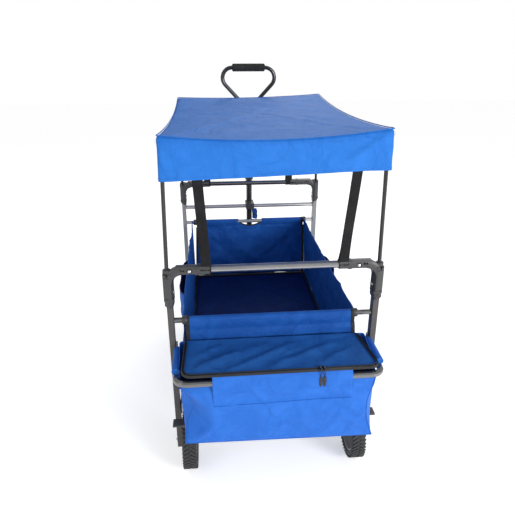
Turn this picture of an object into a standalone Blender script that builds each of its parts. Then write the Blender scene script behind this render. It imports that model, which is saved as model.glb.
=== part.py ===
"""Folding beach cart with a canopy, a rear zip bag and a telescopic pull handle.

+Z is up, +Y runs from the rear (push bar and bag) to the front (pull handle), and +X is to the right
for someone pushing.  The origin is on the ground, at the centre of the bounding box.
The floor folds up at its centre: two floor halves and two pairs of side links draw the frames together.
"""
import bpy
import bmesh
from math import cos, pi, radians, sin, tan
from mathutils import Matrix, Vector

# ---------------------------------------------------------------- driving dimensions, in metres
GAP = 0.0003                  # between touching pieces
RUN = 0.0004                  # radial clearance of a pin in its bore

FRAME_SPACING = 0.790         # rear posts to front posts, centre to centre
POST_X = 0.2555               # post centres, from the middle
POST_WIDE, POST_DEEP, POST_WALL = 0.014, 0.024, 0.0012

REAR_WHEEL_R, TYRE_WIDE, TYRE_DEEP = 0.078, 0.038, 0.020
FRONT_WHEEL_R, CASTER_TRAIL, CASTER_IN = 0.0705, 0.035, 0.030
AXLE_R, HUB_BOSS_R, WHEEL_GAP = 0.0040, 0.016, 0.002
FORK_PLATE, FORK_GAP, CROWN_GAP, CROWN_TALL = 0.003, 0.0025, 0.006, 0.012
STEM_R, STEM_LONG, BRACKET_WALL, BRACKET_TALL = 0.0060, 0.034, 0.002, 0.063
POST_SEAT, SOCKET_TALL = 0.035, 0.014   # from a bracket's foot up to its post and to its stem slot

BAR_RISE = 0.401              # push bar and front bar above the floor's pivots
BAR_R, TUBE_WALL = 0.0090, 0.0011
ELBOW_DROP, ELBOW_TALL, ELBOW_LIP = 0.010, 0.067, 0.0040
POST_SHORT = 0.020            # from the elbow's top down to the post's end
ARM_TALL, ARM_DEEP, ARM_BEND, ARM_REACH = 0.021, 0.024, 0.052, 0.0775
SOCKET = 0.030                # length of bar inside an arm
REST_BAR_DROP, REST_BAR_R = 0.0915, 0.0075
REAR_WALL_TALL, FRONT_WALL_TALL = 0.265, 0.247
TOP_TUBE_R = 0.0070

FLOOR_RISE, FLOOR_CLEAR = 0.030, 0.033   # floor pivots above the caster brackets' feet and the rear tyres
PIVOT_IN = 0.030              # from a frame's plane to its fold pivots
PIVOT_TUBE_R, PLATE_THICK = 0.0080, 0.004
SLEEVE_WALL, SLEEVE_LONG, SLEEVE_STEP = 0.0030, 0.022, 0.028
FLOOR_BAR_WIDE, FLOOR_BAR_TALL, FLOOR_BAR_IN = 0.006, 0.016, 0.0262
PANEL_THICK, PANEL_SLIP = 0.006, 0.0015

LINK_RISE = 0.087             # side links above the floor's pivots
LINK_TALL, LINK_THICK, LINK_PIN_R = 0.018, 0.0040, 0.0040
LINK_SLIP, LUG_THICK = 0.0010, 0.0035
OPEN_PIVOT = 0.0012           # play where a front link meets its post's pin

BASKET_GAP = 0.0238           # posts' inner faces to the side walls' outer faces
FABRIC, WALL_SLIP = 0.0025, 0.0027
NOTCH_HALF, NOTCH_DEEP = 0.048, 0.028

BAG_FRAME_DROP, BAG_FRAME_R = 0.088, 0.0080
BAG_REACH, BAG_ARM_IN, BAG_CORNER = 0.141, 0.0055, 0.026
BAG_CLEAR, BAG_TAPER, BAG_SLIP, BAG_WALL = 0.038, 0.006, 0.003, 0.003
LID_THICK, LID_BACK, LID_GAP, LID_RISE = 0.004, 0.014, 0.0007, 0.026   # it climbs to the end wall
PULL_TALL, PULL_WIDE, PULL_THICK, PULL_X = 0.026, 0.0075, 0.0022, 0.096

CANOPY_RISE, VALANCE, CANOPY_OVER, CANOPY_WALL, CANOPY_SLIP = 0.316, 0.096, 0.012, 0.002, 0.0015
ROD_R, ROD_OUT, ROD_LEAN, ROD_DEEP = 0.0048, 0.002, 0.0090, 0.016
STRAP_WIDE, STRAP_THICK, STRAP_IN = 0.024, 0.0016, 0.013

BRAKE_RISE, BRAKE_SHORT, BRAKE_PAD_RISE, BRAKE_THICK = 0.060, 0.028, 0.036, 0.003

HANDLE_OUT = 0.048            # handle pivot ahead of the front posts
HANDLE_DROP = 0.031           # and below the floor's pivots
HANDLE_LEAN = radians(1.2)    # leans back on its clip
OUTER_R, INNER_R, OUTER_LONG = 0.0110, 0.0078, 0.465
INNER_LAP = 0.120             # length of inner tube inside the outer one when pulled out
COLLAR_R, COLLAR_LONG, COLLAR_LIP = 0.0155, 0.034, 0.006
LOOP_RISE, LOOP_HALF, LOOP_TAPER, LOOP_BEND, LOOP_R = 0.0975, 0.0945, 0.004, 0.034, 0.0070
LOOP_TALL, LOOP_KNEE = 0.1395, 0.092
GRIP_R = 0.0135
HINGE_PIN_R, CHEEK_X, CHEEK_THICK, CHEEK_TALL, CHEEK_LOW = 0.0040, 0.0135, 0.003, 0.022, 0.012

# ---------------------------------------------------------------- places that follow from them
SIDES = {"left": -1, "right": 1}
PULL_OUT = BAG_REACH + BAG_FRAME_R + GAP + PULL_THICK
FRONT_MOST = FRAME_SPACING + HANDLE_OUT + CHEEK_TALL / 2
REAR_Y = (PULL_OUT - FRONT_MOST) / 2
FRONT_Y = REAR_Y + FRAME_SPACING
REAR_PIVOT_Y, FRONT_PIVOT_Y = REAR_Y + PIVOT_IN, FRONT_Y - PIVOT_IN
CENTRE_Y = (REAR_PIVOT_Y + FRONT_PIVOT_Y) / 2

POST_IN = POST_X - POST_WIDE / 2
ARM_END = POST_X - ARM_REACH
REAR_WHEEL_X = POST_IN - WHEEL_GAP - TYRE_WIDE / 2
CASTER_X = POST_X - CASTER_IN
BASKET_X = POST_IN - BASKET_GAP - FABRIC      # inner face of a side wall
WALL_X = BASKET_X - WALL_SLIP                 # half width of the end walls
REAR_BAR_X = BASKET_X - FLOOR_BAR_IN
FRONT_BAR_X = REAR_BAR_X - SLEEVE_STEP
BAG_ARM_X = POST_IN - BAG_ARM_IN
BAG_X = BAG_ARM_X - BAG_FRAME_R - BAG_SLIP
BAG_BASE_X = BAG_X - BAG_TAPER
ROD_FOOT_X = POST_X + ROD_OUT
ROD_TOP_X = ROD_FOOT_X - ROD_LEAN
CANOPY_X = ROD_FOOT_X + CANOPY_SLIP
STRAP_FOOT_X, STRAP_TOP_X = ARM_END - STRAP_IN, ARM_END

CROWN_Z = 2 * FRONT_WHEEL_R + CROWN_GAP       # underside of a caster's fork
BRACKET_Z = CROWN_Z + CROWN_TALL
LEG_END = BRACKET_Z + POST_SEAT
FLOOR_PIVOT_Z = max(BRACKET_Z + FLOOR_RISE, 2 * REAR_WHEEL_R + FLOOR_CLEAR)
SLEEVE_R = PIVOT_TUBE_R + RUN + SLEEVE_WALL
PANEL_Z = FLOOR_PIVOT_Z + SLEEVE_R + GAP
FLOOR_Z = PANEL_Z + PANEL_THICK
LINK_Z = FLOOR_PIVOT_Z + LINK_RISE
REAR_TOP_Z, FRONT_TOP_Z = FLOOR_PIVOT_Z + REAR_WALL_TALL, FLOOR_PIVOT_Z + FRONT_WALL_TALL
BAR_Z = FLOOR_PIVOT_Z + BAR_RISE
REST_BAR_Z = BAR_Z - REST_BAR_DROP
ELBOW_TOP = BAR_Z - ELBOW_DROP
ELBOW_BOTTOM = ELBOW_TOP - ELBOW_TALL
BAG_FRAME_Z = REAR_TOP_Z - BAG_FRAME_DROP
BAG_BOTTOM = 2 * REAR_WHEEL_R + BAG_CLEAR     # above the rear tyres
CANOPY_TOP = BAR_Z + CANOPY_RISE
CANOPY_HEM = CANOPY_TOP - VALANCE
LOOP_TOP_Z = CANOPY_TOP + LOOP_RISE
BRAKE_Z = REAR_WHEEL_R + BRAKE_RISE
BRAKE_REACH = REAR_WHEEL_R - BRAKE_SHORT      # the pad stays over the tyre's shoulder
HANDLE_PIVOT = Vector((0, FRONT_Y + HANDLE_OUT, FLOOR_PIVOT_Z - HANDLE_DROP))


# ---------------------------------------------------------------- modelling helpers
def material(name, colour, roughness, metallic=0.0):
    made = bpy.data.materials.new(name)
    made.use_nodes = True
    shader = made.node_tree.nodes["Principled BSDF"]
    shader.inputs["Base Color"].default_value = (*colour, 1)
    shader.inputs["Roughness"].default_value = roughness
    shader.inputs["Metallic"].default_value = metallic
    return made


def add(name, mesh_builder, surface=None):
    """A new object from a bmesh, with its normals facing out."""
    bmesh.ops.recalc_face_normals(mesh_builder, faces=mesh_builder.faces)
    data = bpy.data.meshes.new(name)
    mesh_builder.to_mesh(data)
    mesh_builder.free()
    data.shade_smooth()
    data.set_sharp_from_angle(angle=radians(35))
    made = bpy.data.objects.new(name, data)
    bpy.context.scene.collection.objects.link(made)
    if surface:
        data.materials.append(surface)
    return made


def block(name, low, high, surface=None, bevel=0.0):
    """A box between two corners, with its edges chamfered."""
    low, high = Vector(low), Vector(high)
    built = bmesh.new()
    bmesh.ops.create_cube(built, size=1)
    for vertex in built.verts:
        vertex.co = Vector(a + (b - a) * (t + 0.5) for a, b, t in zip(low, high, vertex.co))
    if bevel:
        bmesh.ops.bevel(built, geom=built.edges[:], offset=bevel, segments=1, affect="EDGES")
    return add(name, built, surface)


def round_profile(radius, count=14):
    return [(radius * cos(2 * pi * i / count), radius * sin(2 * pi * i / count)) for i in range(count)]


def flat_profile(wide, tall):
    return [(wide / 2 * u, tall / 2 * v) for u, v in ((1, 1), (-1, 1), (-1, -1), (1, -1))]


def rings(built, path, normal, profile):
    """One ring of vertices at each point of a path that lies in the plane of a normal, mitred at its bends."""
    path = [Vector(p) for p in path]
    normal = Vector(normal).normalized()
    made = []
    for i, point in enumerate(path):
        ways = [(b - a).normalized() for a, b in zip(path, path[1:])]
        before, after = ways[max(i - 1, 0)], ways[min(i, len(ways) - 1)]
        along = (before + after).normalized()
        across = along.cross(normal) / before.dot(along)
        made.append([built.verts.new(point + normal * u + across * v) for u, v in profile])
    return made


def skin(built, made):
    for a, b in zip(made, made[1:]):
        for i in range(len(a)):
            j = (i + 1) % len(a)
            built.faces.new((a[i], a[j], b[j], b[i]))


def swept(name, path, normal, profile, surface=None, bore=None):
    """A bar along a path, or a tube open at both ends where a bore profile is given."""
    built = bmesh.new()
    outer = rings(built, path, normal, profile)
    skin(built, outer)
    if bore:
        inner = rings(built, path, normal, bore)
        skin(built, inner)
        for a, b in ((outer[0], inner[0]), (outer[-1], inner[-1])):
            for i in range(len(a)):
                j = (i + 1) % len(a)
                built.faces.new((a[i], a[j], b[j], b[i]))
    else:
        built.faces.new(outer[0])
        built.faces.new(outer[-1])
    return add(name, built, surface)


def rod(name, start, end, radius, surface=None, wall=0.0, count=14):
    """A round rod, or a tube with open ends where a wall is given."""
    start, end = Vector(start), Vector(end)
    along = end - start
    normal = along.cross((0, 0, 1)) if abs(along.z) < 0.9 * along.length else along.cross((0, 1, 0))
    bore = round_profile(radius - wall, count) if wall else None
    return swept(name, (start, end), normal, round_profile(radius, count), surface, bore)


def turned(name, centre, profile, surface, count=32):
    """A closed ring profile of (x, radius) turned about the X axis through a centre."""
    built = bmesh.new()
    made = []
    for i in range(count):
        angle = 2 * pi * i / count
        made.append([
            built.verts.new(Vector(centre) + Vector((x, r * cos(angle), r * sin(angle)))) for x, r in profile
        ])
    skin(built, made + made[:1])
    return add(name, built, surface)


def rounded(path, radius, steps=5):
    """A polyline with each inner corner replaced by an arc."""
    path = [Vector(p) for p in path]
    smooth = [path[0]]
    for before, corner, after in zip(path, path[1:], path[2:]):
        back, on = (before - corner).normalized(), (after - corner).normalized()
        half = back.angle(on) / 2
        centre = corner + (back + on).normalized() * radius / sin(half)
        start, end = corner + back * radius / tan(half), corner + on * radius / tan(half)
        sweep = (start - centre).angle(end - centre)
        axis = (start - centre).cross(end - centre)
        turns = [Matrix.Rotation(sweep * i / steps, 3, axis) for i in range(steps + 1)]
        smooth += [centre + turn @ (start - centre) for turn in turns]
    return smooth + [path[-1]]


def combine(piece, operation, *helpers):
    """Joins helpers to a piece, or cuts them out of it."""
    for helper in helpers:
        helper.hide_render = True
        helper.display_type = "WIRE"
        step = piece.modifiers.new(operation.title(), "BOOLEAN")
        step.operation = operation
        step.object = helper
    return piece


def join(piece, *helpers):
    return combine(piece, "UNION", *helpers)


def cut(piece, *helpers):
    return combine(piece, "DIFFERENCE", *helpers)


def x_rod(name, x0, x1, y, z, radius, surface=None, wall=0.0, count=14):
    return rod(name, (x0, y, z), (x1, y, z), radius, surface, wall, count)


def turn_about(place, *pieces):
    """Moves the pieces' origins onto their joint's axis and leaves their shapes where they are."""
    for piece in pieces:
        piece.data.transform(Matrix.Translation(-Vector(place)))
        piece.location = place


# ---------------------------------------------------------------- frames
def post(side, where, plane, foot, toward, surface):
    """A rectangular post with a lug and a pin for its side link, on the inner face."""
    s = SIDES[side]
    name = f"{where}_leg_{side}"
    made = swept(
        name, ((s * POST_X, plane, foot), (s * POST_X, plane, ELBOW_TOP - POST_SHORT)), (1, 0, 0),
        flat_profile(POST_WIDE, POST_DEEP), surface,
        flat_profile(POST_WIDE - 2 * POST_WALL, POST_DEEP - 2 * POST_WALL))
    lug_x = (POST_IN - LUG_THICK, POST_IN + POST_WALL / 2)
    pivot_y = plane + toward * PIVOT_IN
    ends = sorted((plane, pivot_y + toward * LINK_TALL / 2))
    lug = block(
        f"{name}_lug", (min(s * x for x in lug_x), ends[0], LINK_Z - LINK_TALL / 2),
        (max(s * x for x in lug_x), ends[1], LINK_Z + LINK_TALL / 2))
    reach = POST_IN - LUG_THICK - 2 * (LINK_THICK + LINK_SLIP)
    start = s * (POST_IN - LUG_THICK / 2)
    pin = x_rod(f"{name}_pin", start, s * reach, pivot_y, LINK_Z, LINK_PIN_R, count=12)
    return join(made, lug, pin)


def elbow(side, where, plane, surface):
    """A moulded corner: a sleeve over the post, an arm with the bar's socket, and a hole for a canopy rod."""
    s = SIDES[side]
    name = f"{where}_elbow_{side}"
    half_x, half_y = POST_WIDE / 2 + ELBOW_LIP, POST_DEEP / 2 + ELBOW_LIP
    made = block(
        name, (s * POST_X - half_x, plane - half_y, ELBOW_BOTTOM),
        (s * POST_X + half_x, plane + half_y, ELBOW_TOP), surface, 0.0015)
    path = rounded(
        ((s * POST_X, plane, ELBOW_BOTTOM + 0.012), (s * POST_X, plane, BAR_Z), (s * ARM_END, plane, BAR_Z)),
        ARM_BEND, 7)
    arm = swept(f"{name}_arm", path, (0, 1, 0), flat_profile(ARM_DEEP, ARM_TALL))
    pocket = block(
        f"{name}_pocket",
        (s * POST_X - POST_WIDE / 2 - GAP, plane - POST_DEEP / 2 - GAP, ELBOW_BOTTOM - 0.01),
        (s * POST_X + POST_WIDE / 2 + GAP, plane + POST_DEEP / 2 + GAP, ELBOW_TOP - POST_SHORT + GAP))
    socket = x_rod(
        f"{name}_socket", s * (ARM_END - 0.01), s * (ARM_END + SOCKET + GAP), plane, BAR_Z, BAR_R + GAP)
    rod_x = s * ROD_FOOT_X
    hole_ends = [(rod_x, plane, z) for z in (ELBOW_TOP - ROD_DEEP - GAP, ELBOW_TOP + 0.01)]
    hole = rod(f"{name}_hole", *hole_ends, ROD_R + GAP, count=12)
    return cut(join(made, arm), pocket, socket, hole)


def cross_bar(name, plane, z, radius, surface):
    """A tube between the two arms' sockets."""
    end = ARM_END + SOCKET
    return x_rod(name, -end, end, plane, z, radius, surface, TUBE_WALL, 16)


def between_posts(name, plane, z, radius, surface):
    end = POST_IN - GAP
    return x_rod(name, -end, end, plane, z, radius, surface, TUBE_WALL)


def floor_tube(where, plane, toward, surface):
    """The tube that a floor half turns on, with a plate at each end that bolts to a post."""
    y = plane + toward * PIVOT_IN
    end = POST_IN - GAP
    inside = end - PLATE_THICK / 2
    made = x_rod(f"{where}_floor_tube", -inside, inside, y, FLOOR_PIVOT_Z, PIVOT_TUBE_R, surface)
    for side, s in SIDES.items():
        xs = sorted((s * end, s * (end - PLATE_THICK)))
        ys = sorted((plane - toward * POST_DEEP / 2, y + toward * (PIVOT_TUBE_R + 0.004)))
        join(made, block(
            f"{where}_floor_tube_plate_{side}", (xs[0], ys[0], FLOOR_PIVOT_Z - 0.013),
            (xs[1], ys[1], FLOOR_PIVOT_Z + 0.013)))
    return made


def canopy_rod(side, where, plane, surface):
    """A slim rod from its hole in the elbow up to the canopy's corner."""
    s = SIDES[side]
    path = (
        (s * ROD_FOOT_X, plane, ELBOW_TOP - ROD_DEEP), (s * ROD_FOOT_X, plane, ELBOW_TOP + 0.006),
        (s * ROD_TOP_X, plane, CANOPY_TOP - CANOPY_WALL - 0.002))
    return swept(f"{where}_canopy_rod_{side}", path, (0, 1, 0), round_profile(ROD_R, 10), surface)


# ---------------------------------------------------------------- folding floor and side links
def floor_half(name, bar_x, pin_y, sleeve_ys, brace_y, surface):
    """Two flat bars with sleeves round the tubes they turn on, held together by a tube across them."""
    made = x_rod(name, -bar_x, bar_x, brace_y, FLOOR_PIVOT_Z, PIVOT_TUBE_R, surface)
    ends = sorted((pin_y, *sleeve_ys, brace_y))
    for side, s in SIDES.items():
        bar = block(
            f"{name}_bar_{side}",
            (s * bar_x - FLOOR_BAR_WIDE / 2, ends[0], FLOOR_PIVOT_Z - FLOOR_BAR_TALL / 2),
            (s * bar_x + FLOOR_BAR_WIDE / 2, ends[-1], FLOOR_PIVOT_Z + FLOOR_BAR_TALL / 2))
        sleeves = [
            x_rod(
                f"{name}_sleeve_{side}_{i}", s * bar_x - SLEEVE_LONG / 2, s * bar_x + SLEEVE_LONG / 2, y,
                FLOOR_PIVOT_Z, SLEEVE_R, count=16)
            for i, y in enumerate(sleeve_ys)]
        bores = [
            x_rod(
                f"{name}_bore_{side}_{i}", s * bar_x - SLEEVE_LONG, s * bar_x + SLEEVE_LONG, y, FLOOR_PIVOT_Z,
                PIVOT_TUBE_R + RUN, count=14)
            for i, y in enumerate(sleeve_ys)]
        join(made, bar, *sleeves)
        cut(made, *bores)
    turn_about((0, pin_y, FLOOR_PIVOT_Z), made)


def floor_panel(name, start, end, pivot_y, surface):
    made = block(
        name, (-BASKET_X + PANEL_SLIP, start, PANEL_Z), (BASKET_X - PANEL_SLIP, end, FLOOR_Z), surface, 0.001)
    turn_about((0, pivot_y, FLOOR_PIVOT_Z), made)


def side_link(name, side, layer, start, end, pin_at_end, start_bore, surface):
    """A flat link between two pivots: bored at its start, and either bored or pinned at its end."""
    s = SIDES[side]
    outer = POST_IN - LUG_THICK - LINK_SLIP / 2 - layer * (LINK_THICK + LINK_SLIP)
    xs = sorted((s * outer, s * (outer - LINK_THICK)))
    made = block(name, (xs[0], start, LINK_Z - LINK_TALL / 2), (xs[1], end, LINK_Z + LINK_TALL / 2), surface)
    for i, y in enumerate((start, end)):
        join(made, x_rod(f"{name}_end_{i}", xs[0], xs[1], y, LINK_Z, LINK_TALL / 2, count=16))
    through = (xs[0] - 0.01, xs[1] + 0.01)
    cut(made, x_rod(f"{name}_bore", *through, start, LINK_Z, start_bore, count=14))
    if pin_at_end:
        pin_x = sorted((s * (outer - LINK_THICK / 2), s * (outer - 2 * LINK_THICK - LINK_SLIP)))
        join(made, x_rod(f"{name}_pin", pin_x[0], pin_x[1], end, LINK_Z, LINK_PIN_R, count=12))
    else:
        cut(made, x_rod(f"{name}_bore_end", *through, end, LINK_Z, LINK_PIN_R + RUN, count=14))
    turn_about((0, start if pin_at_end else end, LINK_Z), made)


# ---------------------------------------------------------------- wheels
def wheel(where, side, centre, radius, rubber, plastic):
    """A plain tyre on a dished hub with a bore for the axle."""
    half = TYRE_WIDE / 2
    seat = radius - TYRE_DEEP
    name = f"{where}_tyre_{side}"
    tyre = turned(name, centre, (
        (-half, seat + 0.003), (-half, radius - 0.006), (-half + 0.006, radius), (half - 0.006, radius),
        (half, radius - 0.006), (half, seat + 0.003), (half - 0.004, seat), (-half + 0.004, seat)), rubber, 40)
    rim, web = half - 0.003, 0.004
    bore = AXLE_R + RUN
    hub = turned(f"{where}_hub_{side}", centre, (
        (-rim, seat - GAP), (-rim, seat - 0.008), (-web, seat - 0.014), (-web, HUB_BOSS_R + 0.004),
        (-half, HUB_BOSS_R), (-half, bore), (half, bore), (half, HUB_BOSS_R), (web, HUB_BOSS_R + 0.004),
        (web, seat - 0.014), (rim, seat - 0.008), (rim, seat - GAP)), plastic, 40)
    turn_about(centre, tyre, hub)


def caster(side, metal, plastic, rubber, hub_plastic):
    """A bracket under the front post, a fork that swivels in it, and the fork's wheel."""
    s = SIDES[side]
    x, top = s * CASTER_X, BRACKET_Z + BRACKET_TALL
    half = TYRE_WIDE / 2 + FORK_GAP
    half_deep = POST_DEEP / 2 + 0.008
    xs = sorted((s * (POST_X + POST_WIDE / 2 + BRACKET_WALL), s * (CASTER_X - STEM_R - 0.014)))
    low, high = (xs[0], FRONT_Y - half_deep, BRACKET_Z + GAP), (xs[1], FRONT_Y + half_deep, top)
    bracket = block(f"caster_bracket_{side}", low, high, plastic, BRACKET_WALL)
    pocket = block(
        f"{bracket.name}_pocket",
        (s * POST_X - POST_WIDE / 2 - GAP, FRONT_Y - POST_DEEP / 2 - GAP, LEG_END - GAP),
        (s * POST_X + POST_WIDE / 2 + GAP, FRONT_Y + POST_DEEP / 2 + GAP, top + 0.01))
    slot_x = sorted((s * (CASTER_X - 0.05), s * POST_X))
    slot = block(
        f"{bracket.name}_slot", (slot_x[0], FRONT_Y - 0.05, BRACKET_Z + SOCKET_TALL),
        (slot_x[1], FRONT_Y + 0.05, top + 0.01))
    socket = rod(f"{bracket.name}_socket", (x, FRONT_Y, CROWN_Z), (x, FRONT_Y, top), STEM_R + RUN)
    cut(bracket, pocket, slot, socket)

    axle_y, axle_z = FRONT_Y - CASTER_TRAIL, FRONT_WHEEL_R
    outer = half + FORK_PLATE
    low, high = (x - outer, FRONT_Y - 0.016, CROWN_Z - 0.001), (x + outer, FRONT_Y + 0.016, BRACKET_Z)
    fork = block(f"caster_fork_{side}", low, high, metal)
    stem_ends = [(x, FRONT_Y, CROWN_Z + rise) for rise in (0.004, STEM_LONG)]
    join(fork, rod(f"{fork.name}_stem", *stem_ends, STEM_R, count=12))
    for i, t in enumerate((-1, 1)):
        plate_x = x + t * (half + FORK_PLATE / 2)
        path = ((plate_x, FRONT_Y, CROWN_Z + 0.008), (plate_x, axle_y, axle_z - 0.008))
        join(fork, swept(f"{fork.name}_plate_{i}", path, (1, 0, 0), flat_profile(FORK_PLATE, 0.024)))
    end = outer + 0.003
    join(fork, x_rod(f"{fork.name}_axle", x - end, x + end, axle_y, axle_z, AXLE_R, count=12))
    turn_about((x, FRONT_Y, CROWN_Z), fork)
    wheel("front", side, (x, axle_y, axle_z), FRONT_WHEEL_R, rubber, hub_plastic)


def brake(side, plastic):
    """A foot lever outside the rear post, with a pad and a tooth behind it over the tyre."""
    s = SIDES[side]
    outer = POST_X + POST_WIDE / 2 + GAP
    lever_x, pad_y, pad_z = s * (outer + BRAKE_THICK / 2), REAR_Y - BRAKE_REACH, BRAKE_Z + BRAKE_PAD_RISE
    path = ((lever_x, REAR_Y + 0.006, BRAKE_Z - 0.002), (lever_x, pad_y + 0.008, pad_z))
    made = swept(f"brake_pedal_{side}", path, (1, 0, 0), flat_profile(BRAKE_THICK, 0.012), plastic)
    tyre_in, tyre_out = REAR_WHEEL_X - 0.012, REAR_WHEEL_X + 0.014
    xs = sorted((s * (outer + BRAKE_THICK), s * tyre_in))
    pad = block(f"{made.name}_pad", (xs[0], pad_y - 0.012, pad_z), (xs[1], pad_y + 0.014, pad_z + 0.005))
    xs = sorted((s * tyre_out, s * tyre_in))
    tooth = block(
        f"{made.name}_tooth", (xs[0], pad_y - 0.003, pad_z - 0.011), (xs[1], pad_y + 0.004, pad_z + 0.002))
    join(made, pad, tooth)
    turn_about((lever_x, REAR_Y, BRAKE_Z), made)


# ---------------------------------------------------------------- pull handle
def along_handle(distance, ahead=0.0, x=0.0):
    """A point a distance up the leaning handle from its pivot."""
    up, out = (0, -sin(HANDLE_LEAN), cos(HANDLE_LEAN)), (0, cos(HANDLE_LEAN), sin(HANDLE_LEAN))
    return HANDLE_PIVOT + Vector(up) * distance + Vector(out) * ahead + Vector((x, 0, 0))


def up_handle(z):
    """How far along the leaning handle a height is."""
    return (z - HANDLE_PIVOT.z) / cos(HANDLE_LEAN)


def handle_clevis(steel):
    """Two cheeks below the floor, welded to the front floor tube, with the pin that the handle turns on."""
    back, pivot_y = FRONT_PIVOT_Y - 0.014, HANDLE_PIVOT.y
    low, outer = HANDLE_PIVOT.z - CHEEK_TALL / 2, CHEEK_X + CHEEK_THICK
    made = block("handle_hinge", (-outer, back, low), (outer, FRONT_PIVOT_Y + 0.014, low + 0.006), steel)
    for i, s in enumerate((-1, 1)):
        xs = sorted((s * CHEEK_X, s * outer))
        cheek = block(f"handle_hinge_cheek_{i}", (xs[0], back, low), (xs[1], pivot_y, low + CHEEK_LOW))
        eye = x_rod(f"handle_hinge_eye_{i}", *xs, pivot_y, HANDLE_PIVOT.z, CHEEK_TALL / 2, count=18)
        tab = block(
            f"handle_hinge_tab_{i}", (xs[0], FRONT_PIVOT_Y - 0.010, low),
            (xs[1], FRONT_PIVOT_Y + 0.010, FLOOR_PIVOT_Z - 0.001))
        join(made, cheek, eye, tab)
    reach = CHEEK_X + CHEEK_THICK / 3
    join(made, x_rod("handle_hinge_pin", -reach, reach, pivot_y, HANDLE_PIVOT.z, HINGE_PIN_R, count=12))
    cut(made, x_rod("handle_hinge_seat", -0.1, 0.1, FRONT_PIVOT_Y, FLOOR_PIVOT_Z, PIVOT_TUBE_R + GAP))


def handle_tubes(black, plastic, foam):
    """The outer tube with its eye, the locking collar, and the inner tube with its loop and grip."""
    across = (1, 0, 0)
    bore = INNER_R + RUN
    path = (along_handle(0.016), along_handle(OUTER_LONG))
    outer = swept("handle_outer_tube", path, across, round_profile(OUTER_R, 16), black, round_profile(bore, 16))
    reach, pivot = CHEEK_X - 0.001, (HANDLE_PIVOT.y, HANDLE_PIVOT.z)
    eye = x_rod("handle_outer_tube_eye", -reach, reach, *pivot, HINGE_PIN_R + 0.006, count=16)
    neck = swept(
        "handle_outer_tube_neck", (along_handle(0.004), along_handle(0.034)), across,
        round_profile((OUTER_R + bore) / 2 + 0.0008, 16))
    hole = x_rod("handle_outer_tube_bore", -0.05, 0.05, *pivot, HINGE_PIN_R + RUN)
    cut(join(outer, eye, neck), hole)
    turn_about(HANDLE_PIVOT, outer)

    collar_end = OUTER_LONG + COLLAR_LIP
    swept(
        "handle_lock_collar", (along_handle(collar_end - COLLAR_LONG), along_handle(collar_end)), across,
        round_profile(COLLAR_R, 18), plastic, round_profile(OUTER_R + GAP, 18))

    top = up_handle(LOOP_TOP_Z)
    fork = top - LOOP_TALL
    inner = swept(
        "handle_inner_tube", (along_handle(OUTER_LONG - INNER_LAP), along_handle(fork)), across,
        round_profile(INNER_R, 14), black, round_profile(INNER_R - TUBE_WALL, 14))
    knee, apart, shoulder = fork + LOOP_KNEE, LOOP_R + 0.001, LOOP_HALF - LOOP_TAPER
    corners = [
        along_handle(fork, 0, -apart), along_handle(knee, 0, -LOOP_HALF), along_handle(top, 0, -shoulder),
        along_handle(top, 0, shoulder), along_handle(knee, 0, LOOP_HALF), along_handle(fork, 0, apart)]
    out = (0, cos(HANDLE_LEAN), sin(HANDLE_LEAN))
    loop = swept("handle_inner_tube_loop", rounded(corners, LOOP_BEND), out, round_profile(LOOP_R, 12))
    boss = swept(
        "handle_inner_tube_boss", (along_handle(fork - 0.016), along_handle(fork + 0.012)), across,
        flat_profile(2 * (apart + LOOP_R) + 0.004, 2 * LOOP_R + 0.006))
    join(inner, loop, boss)

    grip_half = shoulder - 0.95 * LOOP_BEND
    swept(
        "handle_grip", (along_handle(top, 0, -grip_half), along_handle(top, 0, grip_half)), out,
        round_profile(GRIP_R, 18), foam, round_profile(LOOP_R + GAP, 18))


def handle_clip(plastic):
    """A saddle on the bright bar with an open mouth that the upright handle presses into."""
    tube_y = along_handle(up_handle(REST_BAR_Z)).y
    half_tall, outer = 0.011, OUTER_R + 0.005
    clip = block(
        "handle_clip", (-outer, FRONT_Y - REST_BAR_R - 0.004, REST_BAR_Z - half_tall),
        (outer, tube_y + OUTER_R / 2, REST_BAR_Z + half_tall), plastic, 0.0015)
    low, high = REST_BAR_Z - 0.03, REST_BAR_Z + 0.03
    mouth = block("handle_clip_mouth", (-OUTER_R - GAP, tube_y, low), (OUTER_R + GAP, tube_y + 0.05, high))
    seat = rod("handle_clip_seat", (0, tube_y, low), (0, tube_y, high), OUTER_R + 0.0008, count=18)
    bore = x_rod("handle_clip_bore", -0.05, 0.05, FRONT_Y, REST_BAR_Z, REST_BAR_R + GAP)
    cut(clip, mouth, seat, bore)


# ---------------------------------------------------------------- soft parts, plain closed solids
def end_wall(name, plane, tube_z, blue):
    """Cloth that hangs from its top tube in a rolled hem."""
    hem = TOP_TUBE_R + GAP + FABRIC
    made = x_rod(name, -WALL_X, WALL_X, plane, tube_z, hem, blue, count=16)
    low, high = FLOOR_Z + 0.002, tube_z - TOP_TUBE_R - 0.001
    sheet = block(f"{name}_sheet", (-WALL_X, plane - FABRIC / 2, low), (WALL_X, plane + FABRIC / 2, high))
    join(made, sheet)
    return cut(made, x_rod(f"{name}_bore", -WALL_X - 0.01, WALL_X + 0.01, plane, tube_z, TOP_TUBE_R + GAP))


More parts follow.
